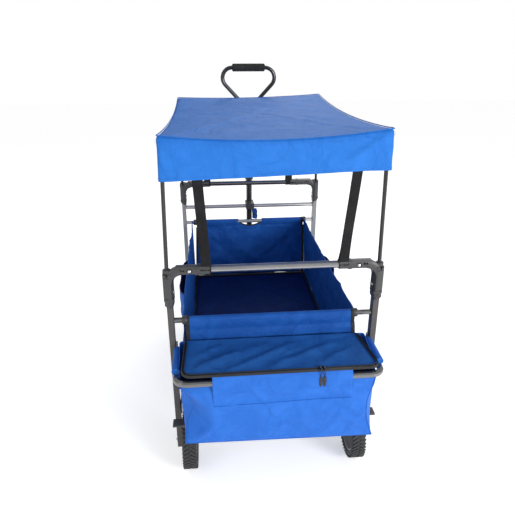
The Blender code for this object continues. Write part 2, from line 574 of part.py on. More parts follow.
def side_wall(side, blue):
    s = SIDES[side]
    xs = sorted((s * BASKET_X, s * (BASKET_X + FABRIC)))
    built = bmesh.new()
    inset = TOP_TUBE_R + FABRIC + 0.001
    back, front, low = REAR_Y + inset, FRONT_Y - inset, FLOOR_Z + 0.002
    outline = ((back, low), (front, low), (front, FRONT_TOP_Z + TOP_TUBE_R), (back, REAR_TOP_Z + TOP_TUBE_R))
    face = built.faces.new([built.verts.new((xs[0], y, z)) for y, z in outline])
    pushed = bmesh.ops.extrude_face_region(built, geom=[face])
    for item in pushed["geom"]:
        if isinstance(item, bmesh.types.BMVert):
            item.co.x = xs[1]
    return add(f"side_wall_{side}", built, blue)


def canopy(blue):
    """A shallow roof with a valance all round, open below."""
    low_y, high_y = REAR_Y - CANOPY_OVER, FRONT_Y + CANOPY_OVER
    made = block("canopy", (-CANOPY_X, low_y, CANOPY_HEM), (CANOPY_X, high_y, CANOPY_TOP), blue)
    inside = block(
        "canopy_inside", (-CANOPY_X + CANOPY_WALL, low_y + CANOPY_WALL, CANOPY_HEM - 0.05),
        (CANOPY_X - CANOPY_WALL, high_y - CANOPY_WALL, CANOPY_TOP - CANOPY_WALL))
    return cut(made, inside)


def strap(side, black):
    """Webbing from the canopy's roof down to the push bar."""
    s = SIDES[side]
    foot, top = BAR_Z + BAR_R + GAP, CANOPY_TOP - CANOPY_WALL - GAP
    lean = (STRAP_TOP_X - STRAP_FOOT_X) / (top - foot) * STRAP_WIDE / 2
    path = ((s * STRAP_FOOT_X, REAR_Y, foot + lean), (s * STRAP_TOP_X, REAR_Y, top - lean))
    return swept(f"canopy_strap_{side}", path, (0, 1, 0), flat_profile(STRAP_THICK, STRAP_WIDE), black)


def bag_frame(black):
    """The tube bent round the bag, with a tab at each end that bolts to a rear post."""
    start, near = REAR_Y - POST_DEEP / 2 - GAP, REAR_Y - BAG_REACH
    path = rounded(
        ((-BAG_ARM_X, start, BAG_FRAME_Z), (-BAG_ARM_X, near, BAG_FRAME_Z), (BAG_ARM_X, near, BAG_FRAME_Z),
         (BAG_ARM_X, start, BAG_FRAME_Z)), BAG_CORNER)
    profile, bore = round_profile(BAG_FRAME_R, 12), round_profile(BAG_FRAME_R - TUBE_WALL, 12)
    made = swept("bag_frame", path, (0, 0, 1), profile, black, bore)
    for side, s in SIDES.items():
        xs = sorted((s * (POST_IN - GAP), s * (POST_IN - GAP - PLATE_THICK)))
        join(made, block(
            f"bag_frame_tab_{side}", (xs[0], start - 0.020, BAG_FRAME_Z - 0.012),
            (xs[1], REAR_Y + 0.010, BAG_FRAME_Z + 0.022)))


def bag(blue, metal):
    """The open bag under its frame, its zipped lid and the two pulls."""
    rim, far = BAG_FRAME_Z - BAG_FRAME_R - LID_GAP, REAR_Y - LID_BACK
    near = REAR_Y - BAG_REACH - BAG_FRAME_R
    lid_z = BAG_FRAME_Z + BAG_FRAME_R + LID_GAP
    back, knee = lid_z + LID_RISE, near + BAG_CORNER + 2 * BAG_FRAME_R
    body = bmesh.new()
    outline = ((near, BAG_BOTTOM), (far, BAG_BOTTOM), (far, back - LID_GAP), (knee, rim), (near, rim))
    ends = []
    for s in (-1, 1):
        ring = []
        for y, z in outline:
            half = BAG_BASE_X + (BAG_X - BAG_BASE_X) * (z - BAG_BOTTOM) / (rim - BAG_BOTTOM)
            ring.append(body.verts.new((s * half, y, z)))
        ends.append(ring)
        body.faces.new(ring)
    for i in range(len(outline)):
        j = (i + 1) % len(outline)
        body.faces.new((ends[0][i], ends[0][j], ends[1][j], ends[1][i]))
    bmesh.ops.recalc_face_normals(body, faces=body.faces)
    inner_x = BAG_BASE_X - BAG_WALL
    inside = block(
        "rear_bag_inside", (-inner_x, near + BAG_WALL, BAG_BOTTOM + BAG_WALL),
        (inner_x, far - BAG_WALL, back + 0.05))
    cut(add("rear_bag", body, blue), inside)

    lid = block("bag_lid", (-BAG_X, near + 0.004, lid_z), (BAG_X, far, lid_z + LID_THICK), blue, 0.001)
    for vertex in lid.data.vertices:
        vertex.co.z += LID_RISE * (vertex.co.y - near - 0.004) / (far - near - 0.004)
    turn_about((0, far, back + LID_THICK / 2), lid)
    for side, s in SIDES.items():
        x = PULL_X + s * (PULL_WIDE / 2 + 0.0007)
        block(
            f"zip_pull_{side}", (x - PULL_WIDE / 2, near - GAP - PULL_THICK, lid_z - PULL_TALL),
            (x + PULL_WIDE / 2, near - GAP, lid_z + 0.002), metal, 0.0006)


def build():
    for old in list(bpy.data.objects):
        bpy.data.objects.remove(old, do_unlink=True)
    blue = material("blue_cloth", (0.02, 0.10, 0.52), 0.75)
    black_cloth = material("black_webbing", (0.02, 0.02, 0.02), 0.8)
    post_paint = material("post_paint", (0.05, 0.045, 0.042), 0.45, 0.4)
    silver_paint = material("silver_paint", (0.42, 0.42, 0.44), 0.35, 0.7)
    black_gloss = material("black_gloss_paint", (0.015, 0.015, 0.017), 0.2, 0.3)
    steel = material("plated_steel", (0.55, 0.55, 0.57), 0.3, 1.0)
    plastic = material("elbow_plastic", (0.055, 0.055, 0.06), 0.5)
    hub_plastic = material("hub_plastic", (0.5, 0.5, 0.52), 0.5)
    rubber = material("tyre_rubber", (0.02, 0.02, 0.02), 0.85)
    foam = material("grip_foam", (0.015, 0.015, 0.015), 0.9)
    board = material("floor_board_cloth", (0.01, 0.03, 0.16), 0.8)

    for side in SIDES:
        rear_post = post(side, "rear", REAR_Y, REAR_WHEEL_R - 0.016, 1, post_paint)
        cut(rear_post, x_rod(f"rear_leg_{side}_bore", -0.3, 0.3, REAR_Y, REAR_WHEEL_R, AXLE_R + GAP))
        post(side, "front", FRONT_Y, LEG_END, -1, silver_paint)
        for where, plane in (("rear", REAR_Y), ("front", FRONT_Y)):
            elbow(side, where, plane, plastic)
            canopy_rod(side, where, plane, black_gloss)
    cross_bar("push_bar", REAR_Y, BAR_Z, BAR_R, black_gloss)
    cross_bar("front_bar", FRONT_Y, BAR_Z, BAR_R, black_gloss)
    between_posts("handle_rest_bar", FRONT_Y, REST_BAR_Z, REST_BAR_R, steel)
    between_posts("rear_top_tube", REAR_Y, REAR_TOP_Z, TOP_TUBE_R, black_gloss)
    between_posts("front_top_tube", FRONT_Y, FRONT_TOP_Z, TOP_TUBE_R, steel)
    floor_tube("rear", REAR_Y, 1, post_paint)
    floor_tube("front", FRONT_Y, -1, post_paint)

    floor_half("floor_frame_rear", REAR_BAR_X, REAR_PIVOT_Y, (REAR_PIVOT_Y,), CENTRE_Y, post_paint)
    floor_half(
        "floor_frame_front", FRONT_BAR_X, CENTRE_Y, (CENTRE_Y, FRONT_PIVOT_Y), (CENTRE_Y + FRONT_PIVOT_Y) / 2,
        post_paint)
    from_wall = FABRIC / 2 + 0.010
    floor_panel("floor_panel_rear", REAR_Y + from_wall, CENTRE_Y - 0.001, REAR_PIVOT_Y, board)
    floor_panel("floor_panel_front", CENTRE_Y + 0.001, FRONT_Y - from_wall, CENTRE_Y, board)
    for side in SIDES:
        side_link(f"side_link_rear_{side}", side, 0, REAR_PIVOT_Y, CENTRE_Y, True, LINK_PIN_R + RUN, post_paint)
        open_bore = LINK_PIN_R + OPEN_PIVOT
        side_link(f"side_link_front_{side}", side, 1, FRONT_PIVOT_Y, CENTRE_Y, False, open_bore, post_paint)

    axle_end = POST_X + POST_WIDE / 2 + 0.004
    x_rod("rear_axle", -axle_end, axle_end, REAR_Y, REAR_WHEEL_R, AXLE_R, steel, count=12)
    for side, s in SIDES.items():
        wheel("rear", side, (s * REAR_WHEEL_X, REAR_Y, REAR_WHEEL_R), REAR_WHEEL_R, rubber, hub_plastic)
        caster(side, post_paint, plastic, rubber, hub_plastic)
        brake(side, plastic)
        strap(side, black_cloth)
        side_wall(side, blue)
    handle_clevis(steel)
    handle_tubes(black_gloss, plastic, foam)
    handle_clip(plastic)
    end_wall("basket_rear_wall", REAR_Y, REAR_TOP_Z, blue)
    end_wall("basket_front_wall", FRONT_Y, FRONT_TOP_Z, blue)
    canopy(blue)
    bag_frame(black_gloss)
    bag(blue, steel)


build()
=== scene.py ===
"""Looks of a folding beach cart: blue polyester cloth with black webbing on a painted tube frame."""
from math import cos, exp, pi, radians, sin, sqrt

import bmesh
import bpy
from mathutils import Matrix, Vector, noise


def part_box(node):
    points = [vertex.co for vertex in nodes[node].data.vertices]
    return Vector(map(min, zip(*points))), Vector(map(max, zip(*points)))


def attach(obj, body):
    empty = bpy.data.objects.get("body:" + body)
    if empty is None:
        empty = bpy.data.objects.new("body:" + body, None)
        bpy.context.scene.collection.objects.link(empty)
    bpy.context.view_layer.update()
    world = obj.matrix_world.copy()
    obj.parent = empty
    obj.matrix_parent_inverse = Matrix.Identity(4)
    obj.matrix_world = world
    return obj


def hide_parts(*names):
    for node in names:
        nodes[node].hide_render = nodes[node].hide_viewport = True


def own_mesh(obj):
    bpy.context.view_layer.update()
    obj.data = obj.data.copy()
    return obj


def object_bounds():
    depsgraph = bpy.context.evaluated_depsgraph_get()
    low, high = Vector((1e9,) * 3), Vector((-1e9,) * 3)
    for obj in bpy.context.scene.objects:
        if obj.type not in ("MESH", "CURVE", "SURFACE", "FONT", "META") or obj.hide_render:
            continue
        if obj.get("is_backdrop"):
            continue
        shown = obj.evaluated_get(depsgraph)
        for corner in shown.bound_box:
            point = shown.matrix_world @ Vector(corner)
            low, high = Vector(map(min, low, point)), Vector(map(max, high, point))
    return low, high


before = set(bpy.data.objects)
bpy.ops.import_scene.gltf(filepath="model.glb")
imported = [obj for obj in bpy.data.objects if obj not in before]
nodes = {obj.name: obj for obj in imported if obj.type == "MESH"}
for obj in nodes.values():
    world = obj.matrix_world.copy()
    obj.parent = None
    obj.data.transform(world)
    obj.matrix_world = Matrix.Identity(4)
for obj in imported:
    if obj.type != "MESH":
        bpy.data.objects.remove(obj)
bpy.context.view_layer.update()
scene = bpy.context.scene

# ------------------------------------------------------------------ studio
# A pale seamless floor, one large soft light behind the camera's right shoulder, a fill from the left
# and an even sky, so that upright cloth is bright and what lies under the canopy is dark.
scene.view_settings.view_transform = "Standard"
scene.view_settings.look = "None"

camera_data = bpy.data.cameras.new("camera")
camera_data.lens = 34.88
camera_data.sensor_width = 36.0
camera = bpy.data.objects.new("camera", camera_data)
camera.location = (-0.1406, -1.43625, 1.081)
camera.rotation_euler = (radians(90 - 23.18), 0, radians(-5.19))
scene.collection.objects.link(camera)
scene.camera = camera

world = bpy.data.worlds.new("studio_sky")
world.use_nodes = True
sky_tree = world.node_tree
sky = sky_tree.nodes["Background"]
sky.inputs["Color"].default_value = (1.0, 1.0, 1.0, 1)
seen = sky_tree.nodes.new("ShaderNodeLightPath")
brightness = sky_tree.nodes.new("ShaderNodeMapRange")
brightness.inputs["To Min"].default_value = 0.60
brightness.inputs["To Max"].default_value = 1.0
sky_tree.links.new(seen.outputs["Is Camera Ray"], brightness.inputs["Value"])
sky_tree.links.new(brightness.outputs["Result"], sky.inputs["Strength"])
scene.world = world


def soft_light(name, place, aim, size, power):
    data = bpy.data.lights.new(name, "AREA")
    data.shape = "DISK"
    data.size = size
    data.energy = power
    light = bpy.data.objects.new(name, data)
    light.location = place
    light.rotation_euler = (Vector(aim) - Vector(place)).to_track_quat("-Z", "Y").to_euler()
    scene.collection.objects.link(light)


soft_light("key", (1.9, -2.5, 1.35), (0, -0.2, 0.45), 1.3, 62)
soft_light("fill", (-2.2, -2.2, 1.7), (0, 0, 0.5), 1.8, 16)
soft_light("back", (0.6, 2.6, 2.2), (0, 0.2, 0.6), 1.6, 22)

floor_data = bpy.data.meshes.new("studio_floor")
floor_data.from_pydata([(-9, -9, 0), (9, -9, 0), (9, 9, 0), (-9, 9, 0)], [], [(0, 1, 2, 3)])
floor = bpy.data.objects.new("studio_floor", floor_data)
scene.collection.objects.link(floor)
floor_paint = bpy.data.materials.new("studio_floor")
floor_paint.use_nodes = True
floor_shader = floor_paint.node_tree.nodes["Principled BSDF"]
floor_shader.inputs["Base Color"].default_value = (0.93, 0.93, 0.93, 1)
floor_shader.inputs["Roughness"].default_value = 0.9
floor_shader.inputs["Emission Color"].default_value = (1, 1, 1, 1)
floor_shader.inputs["Emission Strength"].default_value = 0.42
floor_data.materials.append(floor_paint)
floor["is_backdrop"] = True

# ------------------------------------------------------------------ painted posts and tubes
# Rectangular steel posts and round cross tubes, powder coated: warm grey posts, the front posts in the same coat
# painted a lighter silver grey as painted light, and black gloss bars. The coat has a fine orange-peel and picks up
# dull scuffs.


def effect(name, inputs, outputs):
    """An empty shader node group with named inputs and outputs."""
    group = bpy.data.node_groups.new(name, "ShaderNodeTree")
    for label, kind in inputs:
        group.interface.new_socket(label, in_out="INPUT", socket_type=kind)
    for label, kind in outputs:
        group.interface.new_socket(label, in_out="OUTPUT", socket_type=kind)
    return group, group.nodes.new("NodeGroupInput"), group.nodes.new("NodeGroupOutput")


def node(tree, kind, inputs=None, **settings):
    """A node with its settings and its inputs: a socket is linked, and anything else is its value."""
    made = tree.nodes.new(kind)
    for label, value in settings.items():
        setattr(made, label, value)
    for label, value in (inputs or {}).items():
        if isinstance(value, bpy.types.NodeSocket):
            tree.links.new(value, made.inputs[label])
        else:
            made.inputs[label].default_value = value
    return made


def scuff_group():
    group, given, result = effect(
        "scuffs", [("Vector", "NodeSocketVector"), ("Amount", "NodeSocketFloat")],
        [("Mottle", "NodeSocketFloat"), ("Scuff", "NodeSocketFloat"), ("Height", "NodeSocketFloat")])
    mottle = node(group, "ShaderNodeTexNoise", {"Vector": given.outputs["Vector"], "Scale": 14, "Detail": 4})
    marks = node(
        group, "ShaderNodeTexNoise",
        {"Vector": given.outputs["Vector"], "Scale": 55, "Detail": 8, "Roughness": 0.7, "Distortion": 1.2})
    wear_and_crease_shade = node(
        group, "ShaderNodeMapRange",
        {"Value": marks.outputs["Fac"], "From Min": 0.60, "From Max": 0.70, "To Min": 0, "To Max": 1})
    scaled = node(group, "ShaderNodeMath", {0: wear_and_crease_shade.outputs["Result"], 1: given.outputs["Amount"]}, operation="MULTIPLY")
    peel = node(group, "ShaderNodeTexNoise", {"Vector": given.outputs["Vector"], "Scale": 700, "Detail": 2})
    group.links.new(mottle.outputs["Fac"], result.inputs["Mottle"])
    group.links.new(scaled.outputs["Value"], result.inputs["Scuff"])
    group.links.new(peel.outputs["Fac"], result.inputs["Height"])
    return group


scuffs = scuff_group()


def finish(name, dark, light, rough, metal=0.0, scuff=0.3, scuffed=(0.35, 0.35, 0.35), peel=0.00004, **constants):
    """A hard finish: two tones of one colour, scuffs that lighten and dull it, and a fine bump."""
    made = bpy.data.materials.new(name)
    made.use_nodes = True
    tree = made.node_tree
    shader = tree.nodes["Principled BSDF"]
    place = node(tree, "ShaderNodeTexCoord")
    wear_and_crease_shade = node(tree, "ShaderNodeGroup", node_tree=scuffs)
    tree.links.new(place.outputs["Object"], wear_and_crease_shade.inputs["Vector"])
    wear_and_crease_shade.inputs["Amount"].default_value = scuff
    tone = tree.nodes.new("ShaderNodeMix")
    tone.data_type = "RGBA"
    tone.inputs[6].default_value = (*dark, 1)
    tone.inputs[7].default_value = (*light, 1)
    tree.links.new(wear_and_crease_shade.outputs["Mottle"], tone.inputs[0])
    over = tree.nodes.new("ShaderNodeMix")
    over.data_type = "RGBA"
    over.inputs[7].default_value = (*scuffed, 1)
    tree.links.new(tone.outputs[2], over.inputs[6])
    tree.links.new(wear_and_crease_shade.outputs["Scuff"], over.inputs[0])
    tree.links.new(over.outputs[2], shader.inputs["Base Color"])
    dull = node(
        tree, "ShaderNodeMapRange",
        {"Value": wear_and_crease_shade.outputs["Mottle"], "From Min": 0.3, "From Max": 0.7, "To Min": rough * 0.85, "To Max": rough * 1.2})
    tree.links.new(dull.outputs["Result"], shader.inputs["Roughness"])
    bump = node(tree, "ShaderNodeBump", {"Height": wear_and_crease_shade.outputs["Height"], "Strength": 1.0, "Distance": peel})
    tree.links.new(bump.outputs["Normal"], shader.inputs["Normal"])
    shader.inputs["Metallic"].default_value = metal
    for label, value in constants.items():
        shader.inputs[label.replace("_", " ").title()].default_value = value
    return made


def paint_nodes(surface, *names):
    for name in names:
        for place in nodes[name].material_slots:
            place.material = surface


post_paint = finish("post_powder_coat", (0.055, 0.05, 0.047), (0.085, 0.078, 0.072), 0.42, 0.15, 0.25)
# painted light: the front posts get a lighter copy of the rear posts' coat, standing in for the light that falls on
# them
front_post_paint_lit = finish(
    "post_powder_coat_lit", (0.20, 0.20, 0.205), (0.28, 0.28, 0.285), 0.38, 0.4, 0.2, (0.75, 0.75, 0.75))
bright_tube = finish(
    "bright_tube", (0.42, 0.41, 0.41), (0.56, 0.55, 0.55), 0.30, 0.7, 0.15, (0.5, 0.5, 0.5))
gloss_black = finish(
    "black_gloss", (0.012, 0.012, 0.013), (0.022, 0.022, 0.024), 0.22, 0.1, 0.12, (0.12, 0.12, 0.12))
dark_chrome = finish(
    "dark_chrome", (0.16, 0.16, 0.165), (0.24, 0.24, 0.245), 0.20, 0.9, 0.1, (0.3, 0.3, 0.3), 0.00001)
plated_steel = finish("plated_steel", (0.50, 0.50, 0.51), (0.66, 0.66, 0.68), 0.25, 1.0, 0.3, (0.3, 0.3, 0.3))

for side in ("left", "right"):
    paint_nodes(post_paint, f"rear_leg_{side}", f"side_link_rear_{side}", f"side_link_front_{side}")
    paint_nodes(front_post_paint_lit, f"front_leg_{side}")
    paint_nodes(gloss_black, f"rear_canopy_rod_{side}", f"front_canopy_rod_{side}")
    paint_nodes(plated_steel, f"caster_fork_{side}")
polished_bar = finish(
    "polished_bar", (0.30, 0.30, 0.31), (0.40, 0.40, 0.41), 0.20, 0.9, 0.12, (0.5, 0.5, 0.5), 0.00001)
paint_nodes(polished_bar, "push_bar")
paint_nodes(dark_chrome, "front_bar")
paint_nodes(gloss_black, "rear_top_tube", "rear_floor_tube", "front_floor_tube", "bag_frame")
paint_nodes(gloss_black, "floor_frame_rear", "floor_frame_front")
paint_nodes(bright_tube, "front_top_tube", "handle_rest_bar")
paint_nodes(plated_steel, "rear_axle", "handle_hinge")

# ------------------------------------------------------------------ moulded elbows
# A glass-filled nylon corner on each post: a sleeve over the post, bent into an arm that sockets the bar.
# A steel rivet pins the bar and a snap button the post. A near-black disc under each rivet is painted shade for the
# recess round it.


def sweep(name, path, sections, side, surface, closed=False):
    """A skin over sections (u along the side vector, v across it) placed along a path, with flat ends."""
    path = [Vector(p) for p in path]
    side = Vector(side).normalized()
    count = len(path)
    verts, faces = [], []
    for i, point in enumerate(path):
        before = path[(i - 1) % count] if closed else path[max(i - 1, 0)]
        after = path[(i + 1) % count] if closed else path[min(i + 1, count - 1)]
        along = (after - before).normalized()
        side = (side - along * side.dot(along)).normalized()
        across = along.cross(side)
        section = sections[i] if isinstance(sections[0], list) else sections
        verts += [point + side * u + across * v for u, v in section]
    around = len(sections[0]) if isinstance(sections[0], list) else len(sections)
    for i in range(count if closed else count - 1):
        for k in range(around):
            a, b = i * around + k, i * around + (k + 1) % around
            c, d = ((i + 1) % count) * around + (k + 1) % around, ((i + 1) % count) * around + k
            faces.append((a, b, c, d))
    if not closed:
        faces.append(tuple(reversed(range(around))))
        faces.append(tuple(range((count - 1) * around, count * around)))
    data = bpy.data.meshes.new(name)
    data.from_pydata(verts, [], faces)
    built = bmesh.new()
    built.from_mesh(data)
    bmesh.ops.recalc_face_normals(built, faces=built.faces)
    built.to_mesh(data)
    built.free()
    data.shade_smooth()
    data.set_sharp_from_angle(angle=radians(40))
    data.materials.append(surface)
    made = bpy.data.objects.new(name, data)
    scene.collection.objects.link(made)
    return made


def oval(wide, tall, power=2.0, count=12):
    """A section from an ellipse (power 2) to a rounded rectangle (power 4 and over)."""
    points = []
    for k in range(count):
        a = 2 * pi * (k + 0.5) / count
        c, s = cos(a), sin(a)
        reach = (abs(c) ** power + abs(s) ** power) ** (-1 / power)
        points.append((wide / 2 * c * reach, tall / 2 * s * reach))
    return points


def smooth_path(points, radius, steps=6):
    """A polyline with each inner corner rounded off by an arc-like bend."""
    points = [Vector(p) for p in points]
    path = [points[0]]
    for before, corner, after in zip(points, points[1:], points[2:]):
        start = corner + (before - corner).normalized() * radius
        end = corner + (after - corner).normalized() * radius
        for k in range(steps + 1):
            t = k / steps
            path.append(start * (1 - t) ** 2 + corner * 2 * t * (1 - t) + end * t ** 2)
    return path + [points[-1]]


def turned(name, centre, axis, profile, surface, count=24):
    """A solid turned about an axis from (distance along it, radius) points."""
    axis = Vector(axis).normalized()
    side = axis.orthogonal().normalized()
    over = axis.cross(side)
    verts, faces = [], []
    for along, radius in profile:
        for k in range(count):
            a = 2 * pi * k / count
            verts.append(Vector(centre) + axis * along + (side * cos(a) + over * sin(a)) * radius)
    for i in range(len(profile) - 1):
        for k in range(count):
            a, b = i * count + k, i * count + (k + 1) % count
            faces.append((a, b, b + count, a + count))
    faces.append(tuple(reversed(range(count))))
    faces.append(tuple(range((len(profile) - 1) * count, len(profile) * count)))
    data = bpy.data.meshes.new(name)
    data.from_pydata(verts, [], faces)
    built = bmesh.new()
    built.from_mesh(data)
    bmesh.ops.recalc_face_normals(built, faces=built.faces)
    built.to_mesh(data)
    built.free()
    data.shade_smooth()
    data.set_sharp_from_angle(angle=radians(40))
    data.materials.append(surface)
    made = bpy.data.objects.new(name, data)
    scene.collection.objects.link(made)
    return made


def merged(name, *pieces):
    """Several pieces made one object."""
    built = bmesh.new()
    surfaces = []
    for piece in pieces:
        start = len(built.faces)
        built.from_mesh(piece.data)
        built.faces.ensure_lookup_table()
        for face in built.faces[start:]:
            wanted = piece.data.materials[face.material_index]
            if wanted not in surfaces:
                surfaces.append(wanted)
            face.material_index = surfaces.index(wanted)
    data = bpy.data.meshes.new(name)
    built.to_mesh(data)
    built.free()
    for surface in surfaces:
        data.materials.append(surface)
    for piece in pieces:
        bpy.data.objects.remove(piece, do_unlink=True)
    made = bpy.data.objects.new(name, data)
    scene.collection.objects.link(made)
    return made


nylon = finish("elbow_nylon", (0.030, 0.030, 0.032), (0.050, 0.050, 0.053), 0.42, 0.0, 0.12, (0.12, 0.12, 0.12), 0.00012)
# painted shade: a near-black disc stands in for the shade in the recess round each rivet
recess_shade_paint = finish("rivet_recess_shade", (0.006, 0.006, 0.006), (0.01, 0.01, 0.01), 0.6)
plastic_parts = ["handle_lock_collar", "handle_clip"]
for side in ("left", "right"):
    plastic_parts += [f"caster_bracket_{side}", f"brake_pedal_{side}"]
paint_nodes(nylon, *plastic_parts)

bar_low, bar_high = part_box("push_bar")
bar_z = (bar_low.z + bar_high.z) / 2
for where, body in (("rear", "rear_frame"), ("front", "front_frame")):
    for side, s in (("left", -1), ("right", 1)):
        low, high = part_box(f"{where}_elbow_{side}")
        foot = low.z + (0.012 if where == "front" else 0)
        leg_low, leg_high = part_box(f"{where}_leg_{side}")
        plane = (low.y + high.y) / 2
        outer = high.x if s > 0 else low.x
        inner = low.x if s > 0 else high.x
        post_x = outer - s * 0.011
        arm_end = inner
        path = smooth_path(
            [(post_x, plane, foot), (post_x, plane, foot + 0.030), (post_x, plane, bar_z),
             (post_x - s * 0.060, plane, bar_z), (arm_end, plane, bar_z)], 0.040, 8)
        total = len(path) - 1
        sections = []
        for i in range(len(path)):
            t = i / total
            wide = 0.032 - 0.0075 * min(1, t * 1.5)
            tall = 0.0225 - 0.001 * t
            sections.append(oval(wide, tall, 5.0, 20))
        body_piece = sweep(f"{where}_corner_{side}", path, sections, (0, 1, 0), nylon)
        lip = sweep(
            "lip", [(post_x, plane, foot - 0.0), (post_x, plane, foot + 0.006)],
            [oval(0.0335, 0.0240, 6.0, 20)] * 2, (0, 1, 0), nylon)
        cuff = sweep(
            "cuff", [(arm_end, plane, bar_z), (arm_end + s * 0.008, plane, bar_z)],
            [oval(0.0260, 0.0235, 4.0, 20)] * 2, (0, 1, 0), nylon)
        toward = -1 if where == "rear" else 1
        rivet_x = arm_end + s * 0.0255
        face_y = plane + toward * 0.0124
        dish = turned("dish", (rivet_x, face_y, bar_z), (0, toward, 0), [(-0.002, 0.0066), (0.0003, 0.0066), (0.0004, 0.0052)], recess_shade_paint)
        rivet = turned(
            "rivet", (rivet_x, face_y, bar_z), (0, toward, 0),
            [(-0.002, 0.0046), (0.0010, 0.0046), (0.0022, 0.0036), (0.0028, 0.0020), (0.0030, 0.0004)], plated_steel)
        button = turned(
            "button", (post_x - s * 0.0105, plane, foot + 0.019), (-s, 0, 0),
            [(-0.002, 0.0042), (0.0012, 0.0042), (0.0026, 0.0030), (0.0031, 0.0010), (0.0032, 0.0003)], plated_steel)
        rod_seat = turned(
            "seat", (post_x + s * 0.002, plane, high.z - 0.021), (0, 0, 1),
            [(0, 0.0105), (0.012, 0.0098), (0.013, 0.0085), (0.0135, 0.0060)], nylon)
        corner = merged(f"{where}_corner_piece_{side}", body_piece, lip, cuff, dish, rivet, button, rod_seat)
        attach(corner, body)
        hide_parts(f"{where}_elbow_{side}")

# ------------------------------------------------------------------ canopy
# One sheet of coated polyester: a top panel with four valances sewn to its edge, stretched over the tips of
# four rods.  It sags between the rods, hangs a little higher on the right, and is hemmed with two rows of
# stitches.


def weave_group():
    """A plain weave: threads pass over and under each other along the two directions of the cloth."""
    group, given, result = effect(
        "plain_weave", [("Vector", "NodeSocketVector"), ("Threads", "NodeSocketFloat")],
        [("Height", "NodeSocketFloat"), ("Shade", "NodeSocketFloat")])
    scaled = node(group, "ShaderNodeVectorMath", {0: given.outputs["Vector"]}, operation="SCALE")
    group.links.new(given.outputs["Threads"], scaled.inputs["Scale"])
    split = node(group, "ShaderNodeSeparateXYZ", {0: scaled.outputs["Vector"]})
    waves = []
    for axis in ("X", "Y"):
        angle = node(group, "ShaderNodeMath", {0: split.outputs[axis], 1: pi}, operation="MULTIPLY")
        waves.append(node(group, "ShaderNodeMath", {0: angle.outputs[0]}, operation="SINE"))
    product = node(group, "ShaderNodeMath", {0: waves[0].outputs[0], 1: waves[1].outputs[0]}, operation="MULTIPLY")
    over = node(group, "ShaderNodeMath", {0: product.outputs[0], 1: 0.0}, operation="GREATER_THAN")
    lumps = [node(group, "ShaderNodeMath", {0: wave.outputs[0]}, operation="ABSOLUTE") for wave in waves]
    height = group.nodes.new("ShaderNodeMix")
    height.data_type = "FLOAT"
    group.links.new(over.outputs[0], height.inputs[0])
    group.links.new(lumps[0].outputs[0], height.inputs[2])
    group.links.new(lumps[1].outputs[0], height.inputs[3])
    shade = node(
        group, "ShaderNodeMapRange",
        {"Value": height.outputs[0], "From Min": 0, "From Max": 1, "To Min": 0.80, "To Max": 1.06})
    group.links.new(height.outputs[0], result.inputs["Height"])
    group.links.new(shade.outputs["Result"], result.inputs["Shade"])
    return group


def crease_group():
    """Handling creases: long soft folds, and a net of sharp little wrinkles. The second output is painted shade: low in
    the fold valleys, high on their crests.
    """
    group, given, result = effect(
        "creases", [("Vector", "NodeSocketVector"), ("Sharpness", "NodeSocketFloat")],
        [("Height", "NodeSocketFloat"), ("Fade", "NodeSocketFloat")])
    heights = []
    for scale, weight in ((9, 1.0), (26, 0.45), (70, 0.14)):
        swirl = node(
            group, "ShaderNodeTexNoise",
            {"Vector": given.outputs["Vector"], "Scale": scale, "Detail": 2, "Roughness": 0.5, "Distortion": 0.8})
        centred = node(group, "ShaderNodeMath", {0: swirl.outputs["Fac"], 1: 0.5}, operation="SUBTRACT")
        folded = node(group, "ShaderNodeMath", {0: centred.outputs[0]}, operation="ABSOLUTE")
        sharp = node(group, "ShaderNodeMath", {0: folded.outputs[0], 1: 0.6}, operation="POWER")
        heights.append(node(group, "ShaderNodeMath", {0: sharp.outputs[0], 1: weight}, operation="MULTIPLY"))
    total = node(group, "ShaderNodeMath", {0: heights[0].outputs[0], 1: heights[1].outputs[0]}, operation="ADD")
    total = node(group, "ShaderNodeMath", {0: total.outputs[0], 1: heights[2].outputs[0]}, operation="ADD")
    strong = node(group, "ShaderNodeMath", {0: total.outputs[0], 1: given.outputs["Sharpness"]}, operation="MULTIPLY")
    crease_shade = node(
        group, "ShaderNodeMapRange",
        {"Value": total.outputs[0], "From Min": 0.2, "From Max": 0.75, "To Min": 0.0, "To Max": 1.0})
    group.links.new(strong.outputs[0], result.inputs["Height"])
    group.links.new(crease_shade.outputs["Result"], result.inputs["Fade"])
    return group


weave = weave_group()
creases = crease_group()


